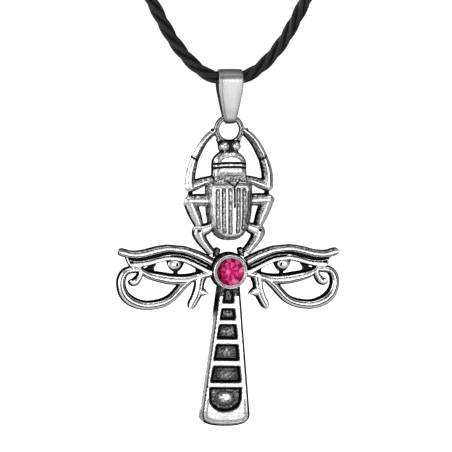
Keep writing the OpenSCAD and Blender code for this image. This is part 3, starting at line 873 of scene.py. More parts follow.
@dataclass
class EyeWing:
    """One arm of the ankh: an open eye with its brow, its spiral loop and its feather."""

    side: Side
    reach: float = 22.65
    rise: float = 13.1
    bar_w: float = 1.8
    bar_h: float = 2.1
    floor_h: float = 1.0
    iris_r: float = 1.2
    turn: float = 0.8
    voxel: float = 0.1

    def _bar(self, relief: Relief, rows: Sequence[Row], height: float, section: Sequence[Band]) -> None:
        """Adds one bar of the drawing."""
        relief.bar(sized(rows, self.reach, self.rise, self.bar_w), height, section)

    def solids(self) -> Relief:
        """Gives the wing's bars, floor and iris, drawn on the right."""
        relief = Relief()
        ridge = [(x, y, 22) for x, y, _ in CHANNEL[:-1]]
        for rows, height, section in (
            (CHANNEL, self.floor_h, FLAT_SECTION), (ridge, self.floor_h + 0.4, RIDGE_SECTION),
            (END_WALL, self.bar_h * 0.8, ROUND_SECTION), (BROW, self.bar_h, BROW_SECTION),
            (UPPER_LID, self.bar_h, LID_SECTION), (LOWER_LID, self.bar_h, LOWER_LID_SECTION),
            (LOOP, self.bar_h, LOOP_SECTION), (HOOK, self.bar_h, ROUND_SECTION),
            (FEATHER, self.bar_h, FEATHER_SECTION), (SPIKE, self.bar_h * 0.9, ROUND_SECTION),
        ):
            self._bar(relief, rows, height, section)
        for corner in EYE_CORNERS:
            relief.mound(sized(corner, self.reach, self.rise), ((0, 0.7, Tone.BLACK), (0.03, 0.85, Tone.BLACK)))
        self._bar(relief, IRIS_STEM, self.bar_h * 0.7, FLAT_SECTION)
        relief.mound(sized(IRIS_OUTLINE, self.reach, self.rise), ((0, 0.9, Tone.BLACK), (0.12, 1.2, Tone.BLACK)))
        ((x, y),) = sized((IRIS_AT,), self.reach, self.rise)
        relief.ball((x, y, 1.2), (self.iris_r * 1.05, self.iris_r * 0.74, 0.34), Tone.BRIGHT)
        return relief

    def build(self) -> bpy.types.Object:
        """Fuses the wing and puts it on its side."""
        casting = Casting(f"{self.side.name.lower()}_eye_wing", self.solids(), self.voxel)
        ((x, y),) = sized((PUPIL_AT,), self.reach, self.rise)
        casting.engrave([(x, y + 0.12), (x, y - 0.12)], 0.5, 0.3, Tone.BLACK, above=1.2)
        casting.hammer(0.45, 0.045, 0.15)
        mirror = Matrix.Diagonal((self.side.value, 1, 1, 1))
        piece = casting.finish(casting_place() @ Matrix.Rotation(math.radians(-self.turn), 4, "Z") @ mirror)
        if self.side is Side.LEFT:
            piece.data.flip_normals()
        return piece


@dataclass
class Scarab:
    """The beetle that forms the ankh's loop, with the ring over its head."""

    length: float = 28.4
    reach: float = 9.15
    leg_w: float = 1.8
    leg_h: float = 2.2
    case_reach: float = 4.75
    case_h: float = 4.1
    shield_reach: float = 3.45
    shield_h: float = 3.2
    head_h: float = 1.9
    eye_r: float = 0.85
    eye_reach: float = 1.18
    ring_mean: float = 2.525
    ring_wire: float = 1.1
    cup_back_r: float = 3.85
    voxel: float = 0.113

    def _leg(self, relief: Relief, rows: Sequence[Row], height: float, section: Sequence[Band]) -> None:
        """Adds one leg bar on both sides."""
        for side in Side:
            placed = sized(rows, self.reach * side.value, self.length, self.leg_w)
            turned = section if side is Side.RIGHT else [(-across, up, tone) for across, up, tone in reversed(section)]
            relief.bar(placed, height, turned)

    def _legs(self, relief: Relief) -> None:
        """Adds the six legs with their knees and the lugs on the cup."""
        for rows, share, section in (
            (FORE_SHIN, 0.95, SHIN_SECTION), (FORE_THIGH, 1, THIGH_SECTION), (SHOULDER, 0.9, THIGH_SECTION),
            (MID_THIGH, 1, THIGH_SECTION), (MID_SHIN, 0.95, LIMB_SECTION), (HIND_THIGH, 0.95, ROUND_SECTION),
            (HIND_SHIN, 1, LIMB_SECTION), *((web, 0.6, FLAT_SECTION) for web in KNEE_WEBS),
        ):
            self._leg(relief, rows, self.leg_h * share, section)
        for side in Side:
            for x, y, width in sized(KNEES, self.reach * side.value, self.length, self.leg_w):
                relief.ball((x, y, self.leg_h * 0.49), (width / 2, width / 2, self.leg_h * 0.48), Tone.SATIN)
            lug = [
                (side.value * x, y) for x, y in (
                    (1.9, self.cup_back_r * 0.84), (3.2, self.cup_back_r * 0.72), (3.2, self.length * 0.15),
                    (2.5, self.length * 0.172), (1.7, self.length * 0.16),
                )
            ]
            relief.mound(lug, ((0, 0.9, Tone.BLACK), (0.12, 1.25, Tone.BLACK), (0.4, 1.54, Tone.HAMMERED)))
            tip = (side.value * self.reach * 0.385, self.length, self.leg_h * 0.8)
            relief.ball(tip, (0.32, 0.32, 0.5), Tone.LINE)

    def _body(self, relief: Relief) -> None:
        """Adds the wing cases, the neck shield and the head."""
        cases = both_sides(sized(CASE_OUTLINE, self.case_reach, self.length))
        top = self.case_h
        relief.mound(cases, (
            (0, top * 0.12, Tone.BLACK), (0.06, top * 0.35, Tone.HAMMERED), (0.5, top * 0.7, Tone.PITTED),
            (0.88, top * 0.88, Tone.PITTED), (1.0, top * 0.92, Tone.DULL), (1.1, top * 0.96, Tone.BRIGHT),
            (1.6, top * 0.985, Tone.SATIN), (2.6, top, Tone.SATIN),
        ))
        corners = ((-1, -1), (1, -1), (1, 1), (-1, 1))
        collar = [(x * self.shield_reach * 0.98, self.length * (0.65 + y * 0.022)) for x, y in corners]
        relief.mound(collar, ((0, self.shield_h * 0.6, Tone.BLACK), (0.15, self.shield_h * 0.85, Tone.HAMMERED)))
        shield = both_sides(sized(SHIELD_OUTLINE, self.shield_reach, self.length))
        top = self.shield_h
        relief.mound(shield, (
            (0, top * 0.2, Tone.BLACK), (0.05, top * 0.5, Tone.BLACK), (0.14, top * 0.66, Tone.PITTED),
            (0.36, top * 0.84, Tone.PITTED), (0.7, top * 0.94, Tone.WORN), (1.3, top, Tone.SATIN),
        ))
        head = both_sides(sized(HEAD_OUTLINE, self.shield_reach, self.length))
        relief.mound(head, ((0, self.head_h * 0.7, Tone.BLACK), (0.2, self.head_h, Tone.BLACK)))
        for side in Side:
            at = (0.18 + side.value * self.eye_reach, self.length * 0.884, self.head_h + 0.15)
            relief.ball(at, (self.eye_r,) * 3, Tone.SATIN)
            strut = [(side.value * x, self.length * y, 0.6) for x, y in ((2.3, 0.935), (1.95, 0.905), (1.75, 0.86))]
            relief.bar(strut, self.head_h * 0.95, ROUND_SECTION)

    def _ring(self, relief: Relief) -> None:
        """Adds the ring that the bail holds."""
        relief.hoop((0, self.length, BACK_Y), self.ring_mean, RING_SECTION, self.ring_wire / 2, self.ring_wire / 2)

    def _engrave(self, casting: Casting) -> None:
        """Cuts the ribs of the wing cases, the creases of the shield and the notches of the legs."""
        for place, foot, top in RIB_GROOVES:
            x = place * self.case_reach / 100
            line = list(zip((x * 0.92, x, x), (share * self.length / 100 for share in (foot, foot + 8, top))))
            casting.engrave(line, 0.9, 0.3, Tone.LINE, above=3.0)
            casting.engrave(line, 0.5, 0.06, Tone.GREY, above=2.8)
        x = SUTURE[0] * self.case_reach / 100
        casting.engrave([(x, SUTURE[1] * self.length / 100), (x, SUTURE[2] * self.length / 100)], 0.32, 0.2, above=3.2)
        for share in (73.9, 76.8):
            y = share * self.length / 100
            line = [(-3.8, y - 0.25), (-1.9, y - 0.02), (0, y + 0.05), (1.9, y - 0.02), (3.8, y - 0.25)]
            casting.engrave(line, 0.46, 0.32, Tone.BLACK, above=0.8)
        arc = [(x, self.length * y) for x, y in ((-2.4, 0.79), (-1.5, 0.812), (0, 0.82), (1.5, 0.812), (2.4, 0.79))]
        casting.engrave(arc, 0.3, 0.12, Tone.GREY, above=2.0)
        notch = [(x, self.length * y) for x, y in ((-0.7, 0.643), (0.62, 0.602), (1.9, 0.643))]
        casting.engrave(notch, 0.3, 0.18, Tone.LINE, above=2.6)
        casting.shade((-4, self.length * 0.67), (4, self.length * 0.728), Tone.PITTED, above=2.6)
        for side in Side:
            # A dark gap under the fore knee, a notch over it, and a dark spot on the hind knee
            x = side.value * self.reach
            casting.engrave([(x * 0.83, self.length * 0.562), (x * 0.92, self.length * 0.556)], 0.6, 0.3, Tone.BLACK)
            casting.engrave([(x * 0.84, self.length * 0.815), (x * 0.7, self.length * 0.783)], 0.42, 0.3, Tone.LINE)
            casting.engrave([(x * 0.69, self.length * 0.29), (x * 0.67, self.length * 0.29)], 0.5, 0.25, Tone.BLACK)
        casting.shade((-4.3, self.length * 0.22), (4.3, self.length * 0.63), Tone.SATIN, above=3.6)

    def build(self) -> bpy.types.Object:
        """Fuses the scarab, cuts its lines and puts it in its place."""
        relief = Relief()
        self._legs(relief)
        self._body(relief)
        self._ring(relief)
        casting = Casting("scarab_and_ring", relief, self.voxel)
        self._engrave(casting)
        casting.hammer(0.45, 0.06, 0.12)
        return casting.finish(casting_place())


@dataclass
class StoneCup:
    """The round setting in the middle of the cross."""

    base_r: float = 3.85
    rim_r: float = 3.4
    lip_r: float = 2.78
    room_r: float = 2.9
    height: float = 3.0

    def build(self) -> bpy.types.Object:
        """Spins the cup's profile and blackens its grooves."""
        top, rim = self.height, self.rim_r
        profile = (
            (0.0, 0.0, Tone.DULL), (self.base_r - 0.3, 0.0, Tone.DULL), (self.base_r, 0.0, Tone.LINE),
            (self.base_r, 0.3, Tone.BLACK), ((self.base_r + rim) / 2 + 0.08, top * 0.5, Tone.LINE),
            (rim + 0.16, top * 0.8, Tone.HAMMERED), (rim + 0.05, top * 0.9, Tone.LINE),
            (rim, top * 0.97, Tone.SATIN), (rim - 0.06, top, Tone.BRIGHT), (rim - 0.17, top, Tone.SATIN),
            (rim - 0.2, top - 0.1, Tone.LINE), (rim - 0.27, top - 0.1, Tone.LINE),
            (rim - 0.3, top - 0.02, Tone.SATIN), (rim - 0.4, top - 0.04, Tone.SATIN),
            (rim - 0.43, top - 0.15, Tone.LINE), (rim - 0.5, top - 0.15, Tone.LINE),
            (rim - 0.53, top - 0.1, Tone.SATIN), (self.lip_r, top - 0.2, Tone.SATIN),
            (self.lip_r, top - 0.46, Tone.BLACK), (self.room_r, top - 0.5, Tone.BLACK),
            (self.room_r, 1.98, Tone.BLACK), (self.room_r - 0.3, 1.93, Tone.BLACK),
            (self.room_r - 0.3, 0.65, Tone.BLACK), (0.0, 0.65, Tone.BLACK),
        )
        part = bmesh.new()
        patina, mottle = part.verts.layers.float.new("patina"), part.verts.layers.float.new("mottle")
        corners = []
        for r, z, tone in profile:
            corner = part.verts.new((r, 0, z))
            corner[patina], corner[mottle] = tone.value
            corners.append(corner)
        spin(part, corners, (0, 0, 0), (0, 0, 1), 144)
        bmesh.ops.remove_doubles(part, verts=part.verts, dist=1e-4)
        return from_bmesh("stone_cup", part, casting_place())


@dataclass
class Shaft:
    """The tapered foot of the ankh with its tiled recesses."""

    length: float = 31.35
    neck: float = 2.0
    foot: float = 5.45
    height: float = 2.7
    draft: float = 0.75
    lean: float = 1.8
    recess_depth: float = 1.2
    tile_h: float = 0.3
    tile_gap: float = 0.28
    right_rim: float = 0.3
    # How high over the recesses' floor their black reaches
    soot_h: float = 0.75
    voxel: float = 0.1

    def half(self, drop: float) -> float:
        """Gives half the shaft's width at a distance below the stone's centre."""
        return self.neck + (self.foot - self.neck) * drop / self.length

    def outline(self, inset: float) -> list[tuple[float, float]]:
        """Gives the shaft's outline stepped in by some width, with a rounded foot."""
        rise = self.foot * 0.46
        straight = self.length - rise
        half = self.half(straight) - inset
        turn = [
            (half * max(math.cos(a), 0) ** 0.77, -straight - (rise - inset) * math.sin(a) ** 0.77)
            for a in np.linspace(0, math.pi / 2, 19)
        ]
        sides = [(self.half(drop) - inset, -drop) for drop in np.linspace(3.0, straight * 0.97, 24)]
        return both_sides(sides + turn)

    def recess(self, row: Row, inset: float) -> list[tuple[float, float]]:
        """Gives a recess's outline with rounded corners, stepped in by some width."""
        top, foot = row[0] * self.length / 100 + inset, row[1] * self.length / 100 - inset
        frame = self.draft + row[2] + inset
        corner = max(0.3 - inset * 0.3, 0.12)
        middles = (
            (self.half(top) - frame - corner, -top - corner, 90), (self.half(foot) - frame - corner, -foot + corner, 0),
        )
        half = [
            (x + corner * math.cos(math.radians(start - a)), y + corner * math.sin(math.radians(start - a)))
            for x, y, start in middles for a in (0, 30, 60, 90)
        ]
        return self._thicken(both_sides(half))

    def _thicken(self, outline: list[tuple[float, float]]) -> list[tuple[float, float]]:
        """Draws an outline's right side in, where the frame is thicker."""
        return [(x - self.right_rim if x > 0 else x, y) for x, y in outline]

    def last_recess(self, inset: float) -> list[tuple[float, float]]:
        """Gives the round footed recess's outline, stepped in by some width."""
        top, foot = LAST_RECESS[0] * self.length / 100, LAST_RECESS[1] * self.length / 100
        half = self.half(top) - self.draft - LAST_RECESS[2] - inset
        drop = (foot - top) * 0.45
        round_foot = [
            (half * math.cos(a), -top - drop - (foot - top - drop - inset) * math.sin(a))
            for a in np.linspace(0, math.pi / 2, 12)
        ]
        return self._thicken(both_sides([(half - 0.12, -top - inset), (half, -top - inset - 0.12)] + round_foot))

    @staticmethod
    def _levels(relief: Relief, tone: Tone, *levels: tuple[Sequence[Row], float]) -> None:
        """Lofts outlines from level to level."""
        rings = [[(x, y, z) for x, y in outline] for outline, z in levels]
        relief.loft(rings, [[tone] * len(ring) for ring in rings])

    def _outlines(self, inset: float) -> list[list[tuple[float, float]]]:
        """Gives all six recesses' outlines, stepped in by some width."""
        return [self.recess(row, inset) for row in RECESSES] + [self.last_recess(inset)]

    def solids(self) -> Relief:
        """Gives the shaft with its recesses cut and its tiles laid."""
        top, floor = self.height, self.height - self.recess_depth
        body, tool = Relief(), Relief()
        self._levels(
            body, Tone.BRIGHT, (self.outline(0), 0), (self.outline(0.02), top * 0.45),
            (self.outline(0.3), top * 0.72), (self.outline(self.draft * 0.72), top * 0.93),
            (self.outline(self.draft * 0.86), top * 0.985), (self.outline(self.draft), top),
        )
        for wide, mid, narrow in zip(self._outlines(-0.3), self._outlines(0), self._outlines(0.03)):
            self._levels(tool, Tone.BLACK, (narrow, floor), (mid, top - 0.4), (wide, top + 0.02), (wide, top + 1))
        relief = Relief()
        relief.solids.free()
        relief.solids = cut(body.solids, tool.solids)
        for key in ("patina", "mottle"):
            if key not in relief.solids.verts.layers.float:
                relief.solids.verts.layers.float.new(key)
        for outline in self._outlines(self.tile_gap):
            relief.mound([(x, y + 0.06) for x, y in outline], (
                (0, floor - 0.05, Tone.BLACK), (0.03, floor + self.tile_h * 0.6, Tone.BLACK),
                (0.14, floor + self.tile_h, Tone.HAMMERED),
            ))
        y = -self.length * 0.815
        relief.ball((-0.2, y, floor), (2.5, 1.7, self.tile_h * 2.4), Tone.HAMMERED)
        return relief

    def _tone(self, casting: Casting) -> None:
        """Tones the front, the sides, the recesses and their tiles by place."""
        x, y, z = casting.points.T
        top, floor = self.height, self.height - self.recess_depth
        inner = np.abs(x) < np.interp(-y, (0, self.length), (self.neck, self.foot)) - self.draft - 0.2
        front, low, deep = casting.normals[:, 2] >= BACK_NORMAL, z < top - 0.12, z <= floor + self.soot_h
        wall, recess = low & ~inner & front, low & inner & (z > 0.1)
        casting.patina[front], casting.mottle[front] = 0.0, 0.12
        casting.patina[wall] = np.maximum(0.1, np.clip((y[wall] + 10.5) / 3.5, 0, 0.95))
        casting.mottle[wall] = 0.3
        casting.patina[wall & (y < -28)] = 0.36
        casting.patina[wall & (z < 0.28)] = 0.8
        # Painted shade: the dark edge under the front, wider on the right
        edge = ~inner & (z > np.where(x > 0, top * 0.6, top * 0.83)) & (z < top * 0.975)
        casting.patina[edge] = 0.8
        casting.patina[recess & ~deep], casting.mottle[recess & ~deep] = 0.5, 0.4
        casting.patina[recess & deep] = 1.0
        tile = recess & (z > floor + self.tile_h * 0.7) & (z < floor + self.soot_h) & (casting.normals[:, 2] > 0.5)
        casting.mottle[tile] = 0.5
        for start, end, rim in RECESSES:
            # A tile darkens away from its middle, and sooner where the frame beside it is narrow
            out = np.hypot(x / (rim * self.foot), (y * 100 / self.length + (start + end) / 2) / (end - start) * 1.6)
            held = tile & (out < 1.4)
            casting.patina[held] = 0.62 + 0.28 * np.clip(out[held], 0, 1)
        # Painted light: the tiles' sides that face the foot are lighter
        casting.patina[tile & (casting.normals[:, 1] < -0.25)] = 0.3
        # The dome in the last recess is lightest on its top
        hub = tile & (y < -self.length * 0.74)
        out = np.hypot((x + 0.2) / 1.25, y + self.length * 0.81)
        casting.patina[hub] = 0.22 + 0.48 * np.clip((out[hub] - 0.2) / 1.3, 0, 1)
        under = (y > -4.9) & (z > 0.5)
        casting.patina[under], casting.mottle[under] = 0.8, 0.8

    def build(self) -> bpy.types.Object:
        """Fuses the shaft, tones it by place, and leans it as the casting does."""
        casting = Casting("shaft", self.solids(), self.voxel)
        self._tone(casting)
        top = self.height
        casting.shade((-5, -self.length), (5, -self.length * 0.895), Tone.DULL, above=top - 0.2)
        arc = [(x, y) for x, y in self.outline(1.15) if y < -self.length * 0.8]
        casting.engrave(arc, 0.36, 0.1, Tone.DULL, above=top - 0.4)
        casting.engrave([(-4.1, -22.9), (-4.0, -23.3)], 0.5, 0.25, Tone.BLACK, above=top - 0.4)
        casting.hammer(0.4, 0.05, 0.15)
        lean = Matrix.Rotation(math.radians(-self.lean), 4, "Z")
        return casting.finish(casting_place() @ lean)


def cut(body: bmesh.types.BMesh, tool: bmesh.types.BMesh) -> bmesh.types.BMesh:
    """Takes one closed shape out of another and frees both.

    Args:
        body: The shape that is cut.
        tool: The shape that is taken away.

    Returns:
        What is left.
    """
    holders = []
    for name, part in (("body", body), ("tool", tool)):
        mesh = bpy.data.meshes.new(name)
        part.to_mesh(mesh)
        part.free()
        holder = bpy.data.objects.new(name, mesh)
        bpy.context.scene.collection.objects.link(holder)
        holders.append(holder)
    difference = holders[0].modifiers.new("cut", "BOOLEAN")
    difference.operation, difference.object, difference.solver = "DIFFERENCE", holders[1], "EXACT"
    graph = bpy.context.evaluated_depsgraph_get()
    mesh = bpy.data.meshes.new_from_object(holders[0].evaluated_get(graph))
    left = bmesh.new()
    left.from_mesh(mesh)
    bpy.data.meshes.remove(mesh)
    for holder in holders:
        held = holder.data
        bpy.data.objects.remove(holder)
        bpy.data.meshes.remove(held)
    return left


@dataclass
class RedStone:
    """The round cut stone: a clear crown over a toned foil."""

    radius: float = 2.85
    girdle_low: float = 2.2
    girdle: float = 0.2
    crown: float = 0.75
    depth: float = 1.5
    # The foil's facets, from the right and round to the left, ring by ring from the middle: painted reflections from
    # dark to a painted sparkle
    tones: tuple = (
        (0.55, 0.6, 0.5, 0.6, 0.6, 0.7, 0.8, 0.85, 0.9, 0.85, 0.8, 0.65, 0.55, 0.6, 0.5, 0.55),
        (0.42, 0.72, 0.42, 0.74, 0.44, 0.72, 0.42, 0.66, 0.38, 0.62, 0.36, 0.66, 0.42, 0.74, 0.42, 0.7),
        (1.0, 0.45, 0.75, 0.38, 0.75, 0.32, 0.58, 0.16, 0.34, 0.14, 0.55, 0.34, 0.8, 1.0, 0.4, 0.65),
    )

    def build_crown(self) -> bpy.types.Object:
        """Lofts the crown's table, kites and girdle and leaves its facets sharp."""
        part = bmesh.new()
        top = self.girdle_low + self.girdle
        made = bmesh.ops.create_circle(part, cap_ends=True, segments=32, radius=self.radius)
        bmesh.ops.translate(part, vec=(0, 0, self.girdle_low), verts=made["verts"])
        levels = (
            (self.radius, top, 32, 0), (self.radius * 0.84, top + self.crown * 0.62, 16, 11.25),
            (self.radius * 0.58, top + self.crown, 8, 22.5),
        )
        for radius, z, count, turn in levels:
            place = Matrix.Translation((0, 0, z)) @ Matrix.Rotation(math.radians(turn), 4, "Z")
            bmesh.ops.create_circle(part, cap_ends=False, segments=count, radius=radius, matrix=place)
        hull = bmesh.ops.convex_hull(part, input=part.verts)
        loose = [item for item in hull["geom_interior"] + hull["geom_unused"] if isinstance(item, bmesh.types.BMVert)]
        if loose:
            bmesh.ops.delete(part, geom=loose, context="VERTS")
        bmesh.ops.dissolve_limit(part, angle_limit=math.radians(2), verts=part.verts, edges=part.edges)
        piece = from_bmesh("stone_crown", part, casting_place())
        piece.data.polygons.foreach_set("use_smooth", [False] * len(piece.data.polygons))
        return piece

    def build_foil(self) -> bpy.types.Object:
        """Lofts the pavilion with a raised hub of facets, each with a painted reflection of its own."""
        part = bmesh.new()
        facet = part.faces.layers.float.new("facet")
        top, sides = self.girdle_low - 0.02, len(self.tones[0])
        rings = (
            (self.radius * 0.985, top), (self.radius * 0.62, top - 0.35), (self.radius * 0.3, top - 0.15),
            (self.radius * 0.07, top - 0.25),
        )
        made: list[list] = []
        for i, (radius, z) in enumerate(rings):
            turn = Matrix.Translation((0, 0, z)) @ Matrix.Rotation(math.pi / sides * (i % 2), 4, "Z")
            circle = bmesh.ops.create_circle(part, cap_ends=False, segments=sides, radius=radius, matrix=turn)
            made.append(circle["verts"])
        for outer, inner in zip(made, made[1:]):
            edges = {
                edge for vert in outer + inner for edge in vert.link_edges if edge.is_wire or len(edge.link_faces) < 2
            }
            ring_edges = [e for e in edges if all(v in outer for v in e.verts) or all(v in inner for v in e.verts)]
            bmesh.ops.bridge_loops(part, edges=ring_edges)
        bmesh.ops.contextual_create(part, geom=made[-1])
        foot = Matrix.Translation((0, 0, top - self.depth + 0.1))
        circle = bmesh.ops.create_circle(part, cap_ends=True, segments=sides, radius=self.radius * 0.3, matrix=foot)
        low = circle["verts"]
        skirt = [e for ring in (made[0], low) for v in ring for e in v.link_edges if all(w in ring for w in e.verts)]
        bmesh.ops.bridge_loops(part, edges=list(set(skirt)))
        bmesh.ops.triangulate(part, faces=part.faces)
        for face in part.faces:
            at = face.calc_center_median()
            turn = math.degrees(math.atan2(at.y, at.x)) % 360
            out = math.hypot(at.x, at.y) / self.radius
            tones = self.tones[0 if out < 0.3 else 1 if out < 0.6 else 2]
            face[facet] = tones[int(turn / 360 * len(tones)) % len(tones)]
        piece = from_bmesh("stone_foil", part, casting_place())
        piece.data.polygons.foreach_set("use_smooth", [False] * len(piece.data.polygons))
        return piece


@dataclass
class FoldedBail:
    """A strip folded over the cord and down round the ring."""

    width: float = 4.95
    foot_width: float = 2.2
    strip: float = 0.4
    cord_gap: float = 0.56
    drop: float = 0.2
    wire_gap: float = 0.45
    wire_r: float = 0.55
    reach: float = 7.55
    shift: float = 0.1
    # How light the front leaf lies in the studio: height over the cord's centre, and shade
    shades: tuple = (
        (-8.9, 0.25), (-8.3, 0.3), (-8.1, 0.85), (-7.6, 0.72), (-6.4, 0.68), (-5.4, 0.86), (-2.5, 0.92), (-0.6, 0.95),
        (0.1, 0.85), (0.6, 0.6), (0.95, 0.38), (1.1, 0.16), (1.3, 0.16), (1.42, 0.4), (1.7, 0.46), (2.0, 0.4),
    )
    # The same across it: share of the half width, and shade
    across: tuple = (
        (-1, 1.0), (-0.84, 1.0), (-0.8, 0.4), (-0.74, 0.4), (-0.68, 0.88), (-0.5, 0.95), (0.4, 1.0), (0.7, 0.9),
        (1, 0.8),
    )

    @staticmethod
    def _arc(radius: float, z: float, start: float, end: float, count: int) -> list[tuple[float, float]]:
        """Gives the points of an arc about a height, from angle to angle."""
        return [(radius * math.cos(a), z + radius * math.sin(a)) for a in np.linspace(start, end, count)]

    @staticmethod
    def _leaf(start: Row, end: Row) -> list[tuple[float, float]]:
        """Gives the points of a straight leaf between two arcs, without its ends."""
        a, b = np.array(start), np.array(end)
        return [tuple(a + (b - a) * t) for t in np.linspace(0, 1, 26)[1:-1]]

    def side(self) -> np.ndarray:
        """Gives the strip's middle line seen from the side: depth and height over the cord's centre."""
        head = CORD_D / 2 + self.cord_gap + self.strip / 2
        foot = self.wire_r + self.wire_gap + self.strip / 2
        lean = math.asin((head - foot) / (self.reach - self.drop))
        turn = self._arc(head, -self.drop, -lean, math.pi + lean, 57)
        back = self._arc(foot, -self.reach, math.pi + lean, 2 * math.pi - lean, 33)
        return np.array(turn + self._leaf(turn[-1], back[0]) + back + self._leaf(back[-1], turn[0]) + turn[:1])

    def half_width(self, z: float) -> float:
        """Gives half the strip's width at a height over the cord's centre."""
        shares = [row[0] for row in BAIL_TAPER]
        over = float(np.interp(-z / self.reach * 100, shares, [row[1] for row in BAIL_TAPER]))
        return (self.foot_width + (self.width - self.foot_width) * over / 100) / 2

    def build(self) -> bpy.types.Object:
        """Sweeps the strip's crowned section round its side view."""
        path = self.side()
        ahead = np.roll(path[:-1], -1, axis=0) - np.roll(path[:-1], 1, axis=0)
        ahead = np.vstack([ahead, ahead[:1]])
        ahead /= np.linalg.norm(ahead, axis=1)[:, None]
        thick, rings = self.strip / 2, []
        for (y, z), (dy, dz) in zip(path, ahead):
            half = self.half_width(z)
            ring = []
            for a in np.linspace(0, 2 * math.pi, 64, endpoint=False):
                # A strip with rolled edges: square corners eased, and the outside a little crowned
                c, s = math.cos(a), math.sin(a)
                x = half * math.copysign(abs(c) ** 0.5, c)
                out = thick * math.copysign(abs(s) ** 0.3, s)
                out -= 0.06 * (x / half) ** 2 if s > 0 else 0
                ring.append((x, y + dz * out, z - dy * out))
            rings.append(ring)
        part = bmesh.new()
        bmesh.ops.delete(part, geom=loft_rings(part, rings), context="FACES_ONLY")
        bmesh.ops.remove_doubles(part, verts=part.verts, dist=1e-3)
        bmesh.ops.translate(part, vec=(self.shift, 0, 0), verts=part.verts)
        # The shade layer holds painted light and shade: the front leaf's from the tables above, painted shade on the
        # back leaf's inner face, and a flat middle shade on the rest of the back
        shade = part.verts.layers.float.new("shade")
        rooms = (self.wire_r + self.wire_gap, CORD_D / 2 + self.cord_gap)
        for corner in part.verts:
            x, y, z = corner.co
            down = np.interp(z, *zip(*self.shades))
            over = np.interp((x - self.shift) / self.half_width(z), *zip(*self.across))
            inside = y < np.interp(z, (-self.reach, -self.drop), rooms) + 0.2
            corner[shade] = down * over if y < 0 else 0.12 if inside else 0.5
        return from_bmesh("folded_bail", part, Matrix.Scale(MM, 4) @ Matrix.Translation((0, 0, BAIL_Z)))


@dataclass
class TwistedCord:
    """Four waxed strands twisted into one cord, looped from one end of the clasp to the other."""

    diameter: float = CORD_D
    pitch: float = 16.4
    strand_r: float = 0.54
    sides: int = 64
    step: float = 0.5

    def route(self) -> np.ndarray:
        """Gives the whole route's points, x and z in millimetres, from socket to socket."""
        right = [(x, BAIL_Z + z) for x, z in ROUTE_HALF]
        left = [(-x, z) for x, z in reversed(right[1:])]
        return np.array(left + right)

    def centreline(self) -> tuple[np.ndarray, np.ndarray]:
        """Gives evenly spaced points on the route and their distances from the bail."""
        dense = smooth(self.route(), 24)
        run = np.concatenate([[0], np.cumsum(np.linalg.norm(np.diff(dense, axis=0), axis=1))])
        count = int(run[-1] / self.step)
        even = np.linspace(0, run[-1], count + 1)
        points = np.column_stack([np.interp(even, run, dense[:, 0]), np.interp(even, run, dense[:, 1])])
        return points, even - run[-1] / 2

    def lobe(self, angle: np.ndarray) -> np.ndarray:
        """Gives the radius of four strands lying together, at an angle round the cord."""
        centre = self.diameter / 2 - self.strand_r
        near = (angle + math.pi / 4) % (math.pi / 2) - math.pi / 4
        return centre * np.cos(near) + np.sqrt(np.maximum(self.strand_r**2 - (centre * np.sin(near)) ** 2, 0.01))

    def build(self) -> bpy.types.Object:
        """Bends a grid round the route and twists it all one way."""
        points, run = self.centreline()
        ahead = headings(points)
        part = bmesh.new()
        part.loops.layers.uv.new("UVMap")
        bmesh.ops.create_grid(part, x_segments=self.sides, y_segments=len(points) - 1, size=1, calc_uvs=True)
        rows = len(points) - 1
        # How far out the surface lies on its strand, which the cord's material turns into painted shade in the valleys
        # and painted light on the crests
        crest_shade = part.verts.layers.float.new("crest_shade")
        low, high = float(self.lobe(np.array(math.pi / 4))), float(self.lobe(np.array(0.0)))
        for corner in part.verts:
            around = (corner.co.x + 1) / 2 * 2 * math.pi
            i = int(round((corner.co.y + 1) / 2 * rows))
            radius = float(self.lobe(np.array(around)))
            corner[crest_shade] = (radius - low) / (high - low)
            angle = around + run[i] / self.pitch * 2 * math.pi
            dx, dz = ahead[i]
            out, side = radius * math.cos(angle), radius * math.sin(angle)
            corner.co = (points[i, 0] - dz * out, side, points[i, 1] + dx * out)
        bmesh.ops.remove_doubles(part, verts=part.verts, dist=1e-3)
        open_edges = [edge for edge in part.edges if edge.is_boundary]
        bmesh.ops.holes_fill(part, edges=open_edges, sides=self.sides)
        piece = from_bmesh("twisted_cord", part, Matrix.Scale(MM, 4))
        return piece


@dataclass
class BarrelClasp:
    """The barrel that closes the loop at the nape."""

    length: float = 30.0
    diameter: float = 6.0
    socket_r: float = 1.5

    def build(self) -> bpy.types.Object:
        """Spins the barrel's profile with its collars, grooves and sockets."""
        half, r = self.length / 2, self.diameter / 2
        right = (
            (0.0, r - 0.4), (0.35, r - 0.4), (0.45, r - 0.05), (0.55, r), (0.75, r), (4.5, r), (4.65, r),
            (4.75, r - 0.18), (4.95, r - 0.18), (5.05, r), (5.2, r), (half - 4.5, r), (half - 4.35, r),
            (half - 4.25, r - 0.18), (half - 4.05, r - 0.18), (half - 3.95, r), (half - 3.8, r), (half - 0.95, r),
            (half - 0.8, r), (half - 0.25, r - 0.16), (half, r - 0.6), (half, self.socket_r + 0.3),
            (half - 0.2, self.socket_r), (half - 5, self.socket_r), (half - 5, 0),
        )
        outline = [(-x, y) for x, y in reversed(right)] + list(right[1:])
        part = bmesh.new()
        corners = [part.verts.new((x, y, 0)) for x, y in outline]
        spin(part, corners, (0, 0, 0), (1, 0, 0), 96)
        bmesh.ops.remove_doubles(part, verts=part.verts, dist=1e-4)
        return from_bmesh("barrel_clasp", part, Matrix.Scale(MM, 4) @ Matrix.Translation((0, 0, CLASP_Z)))


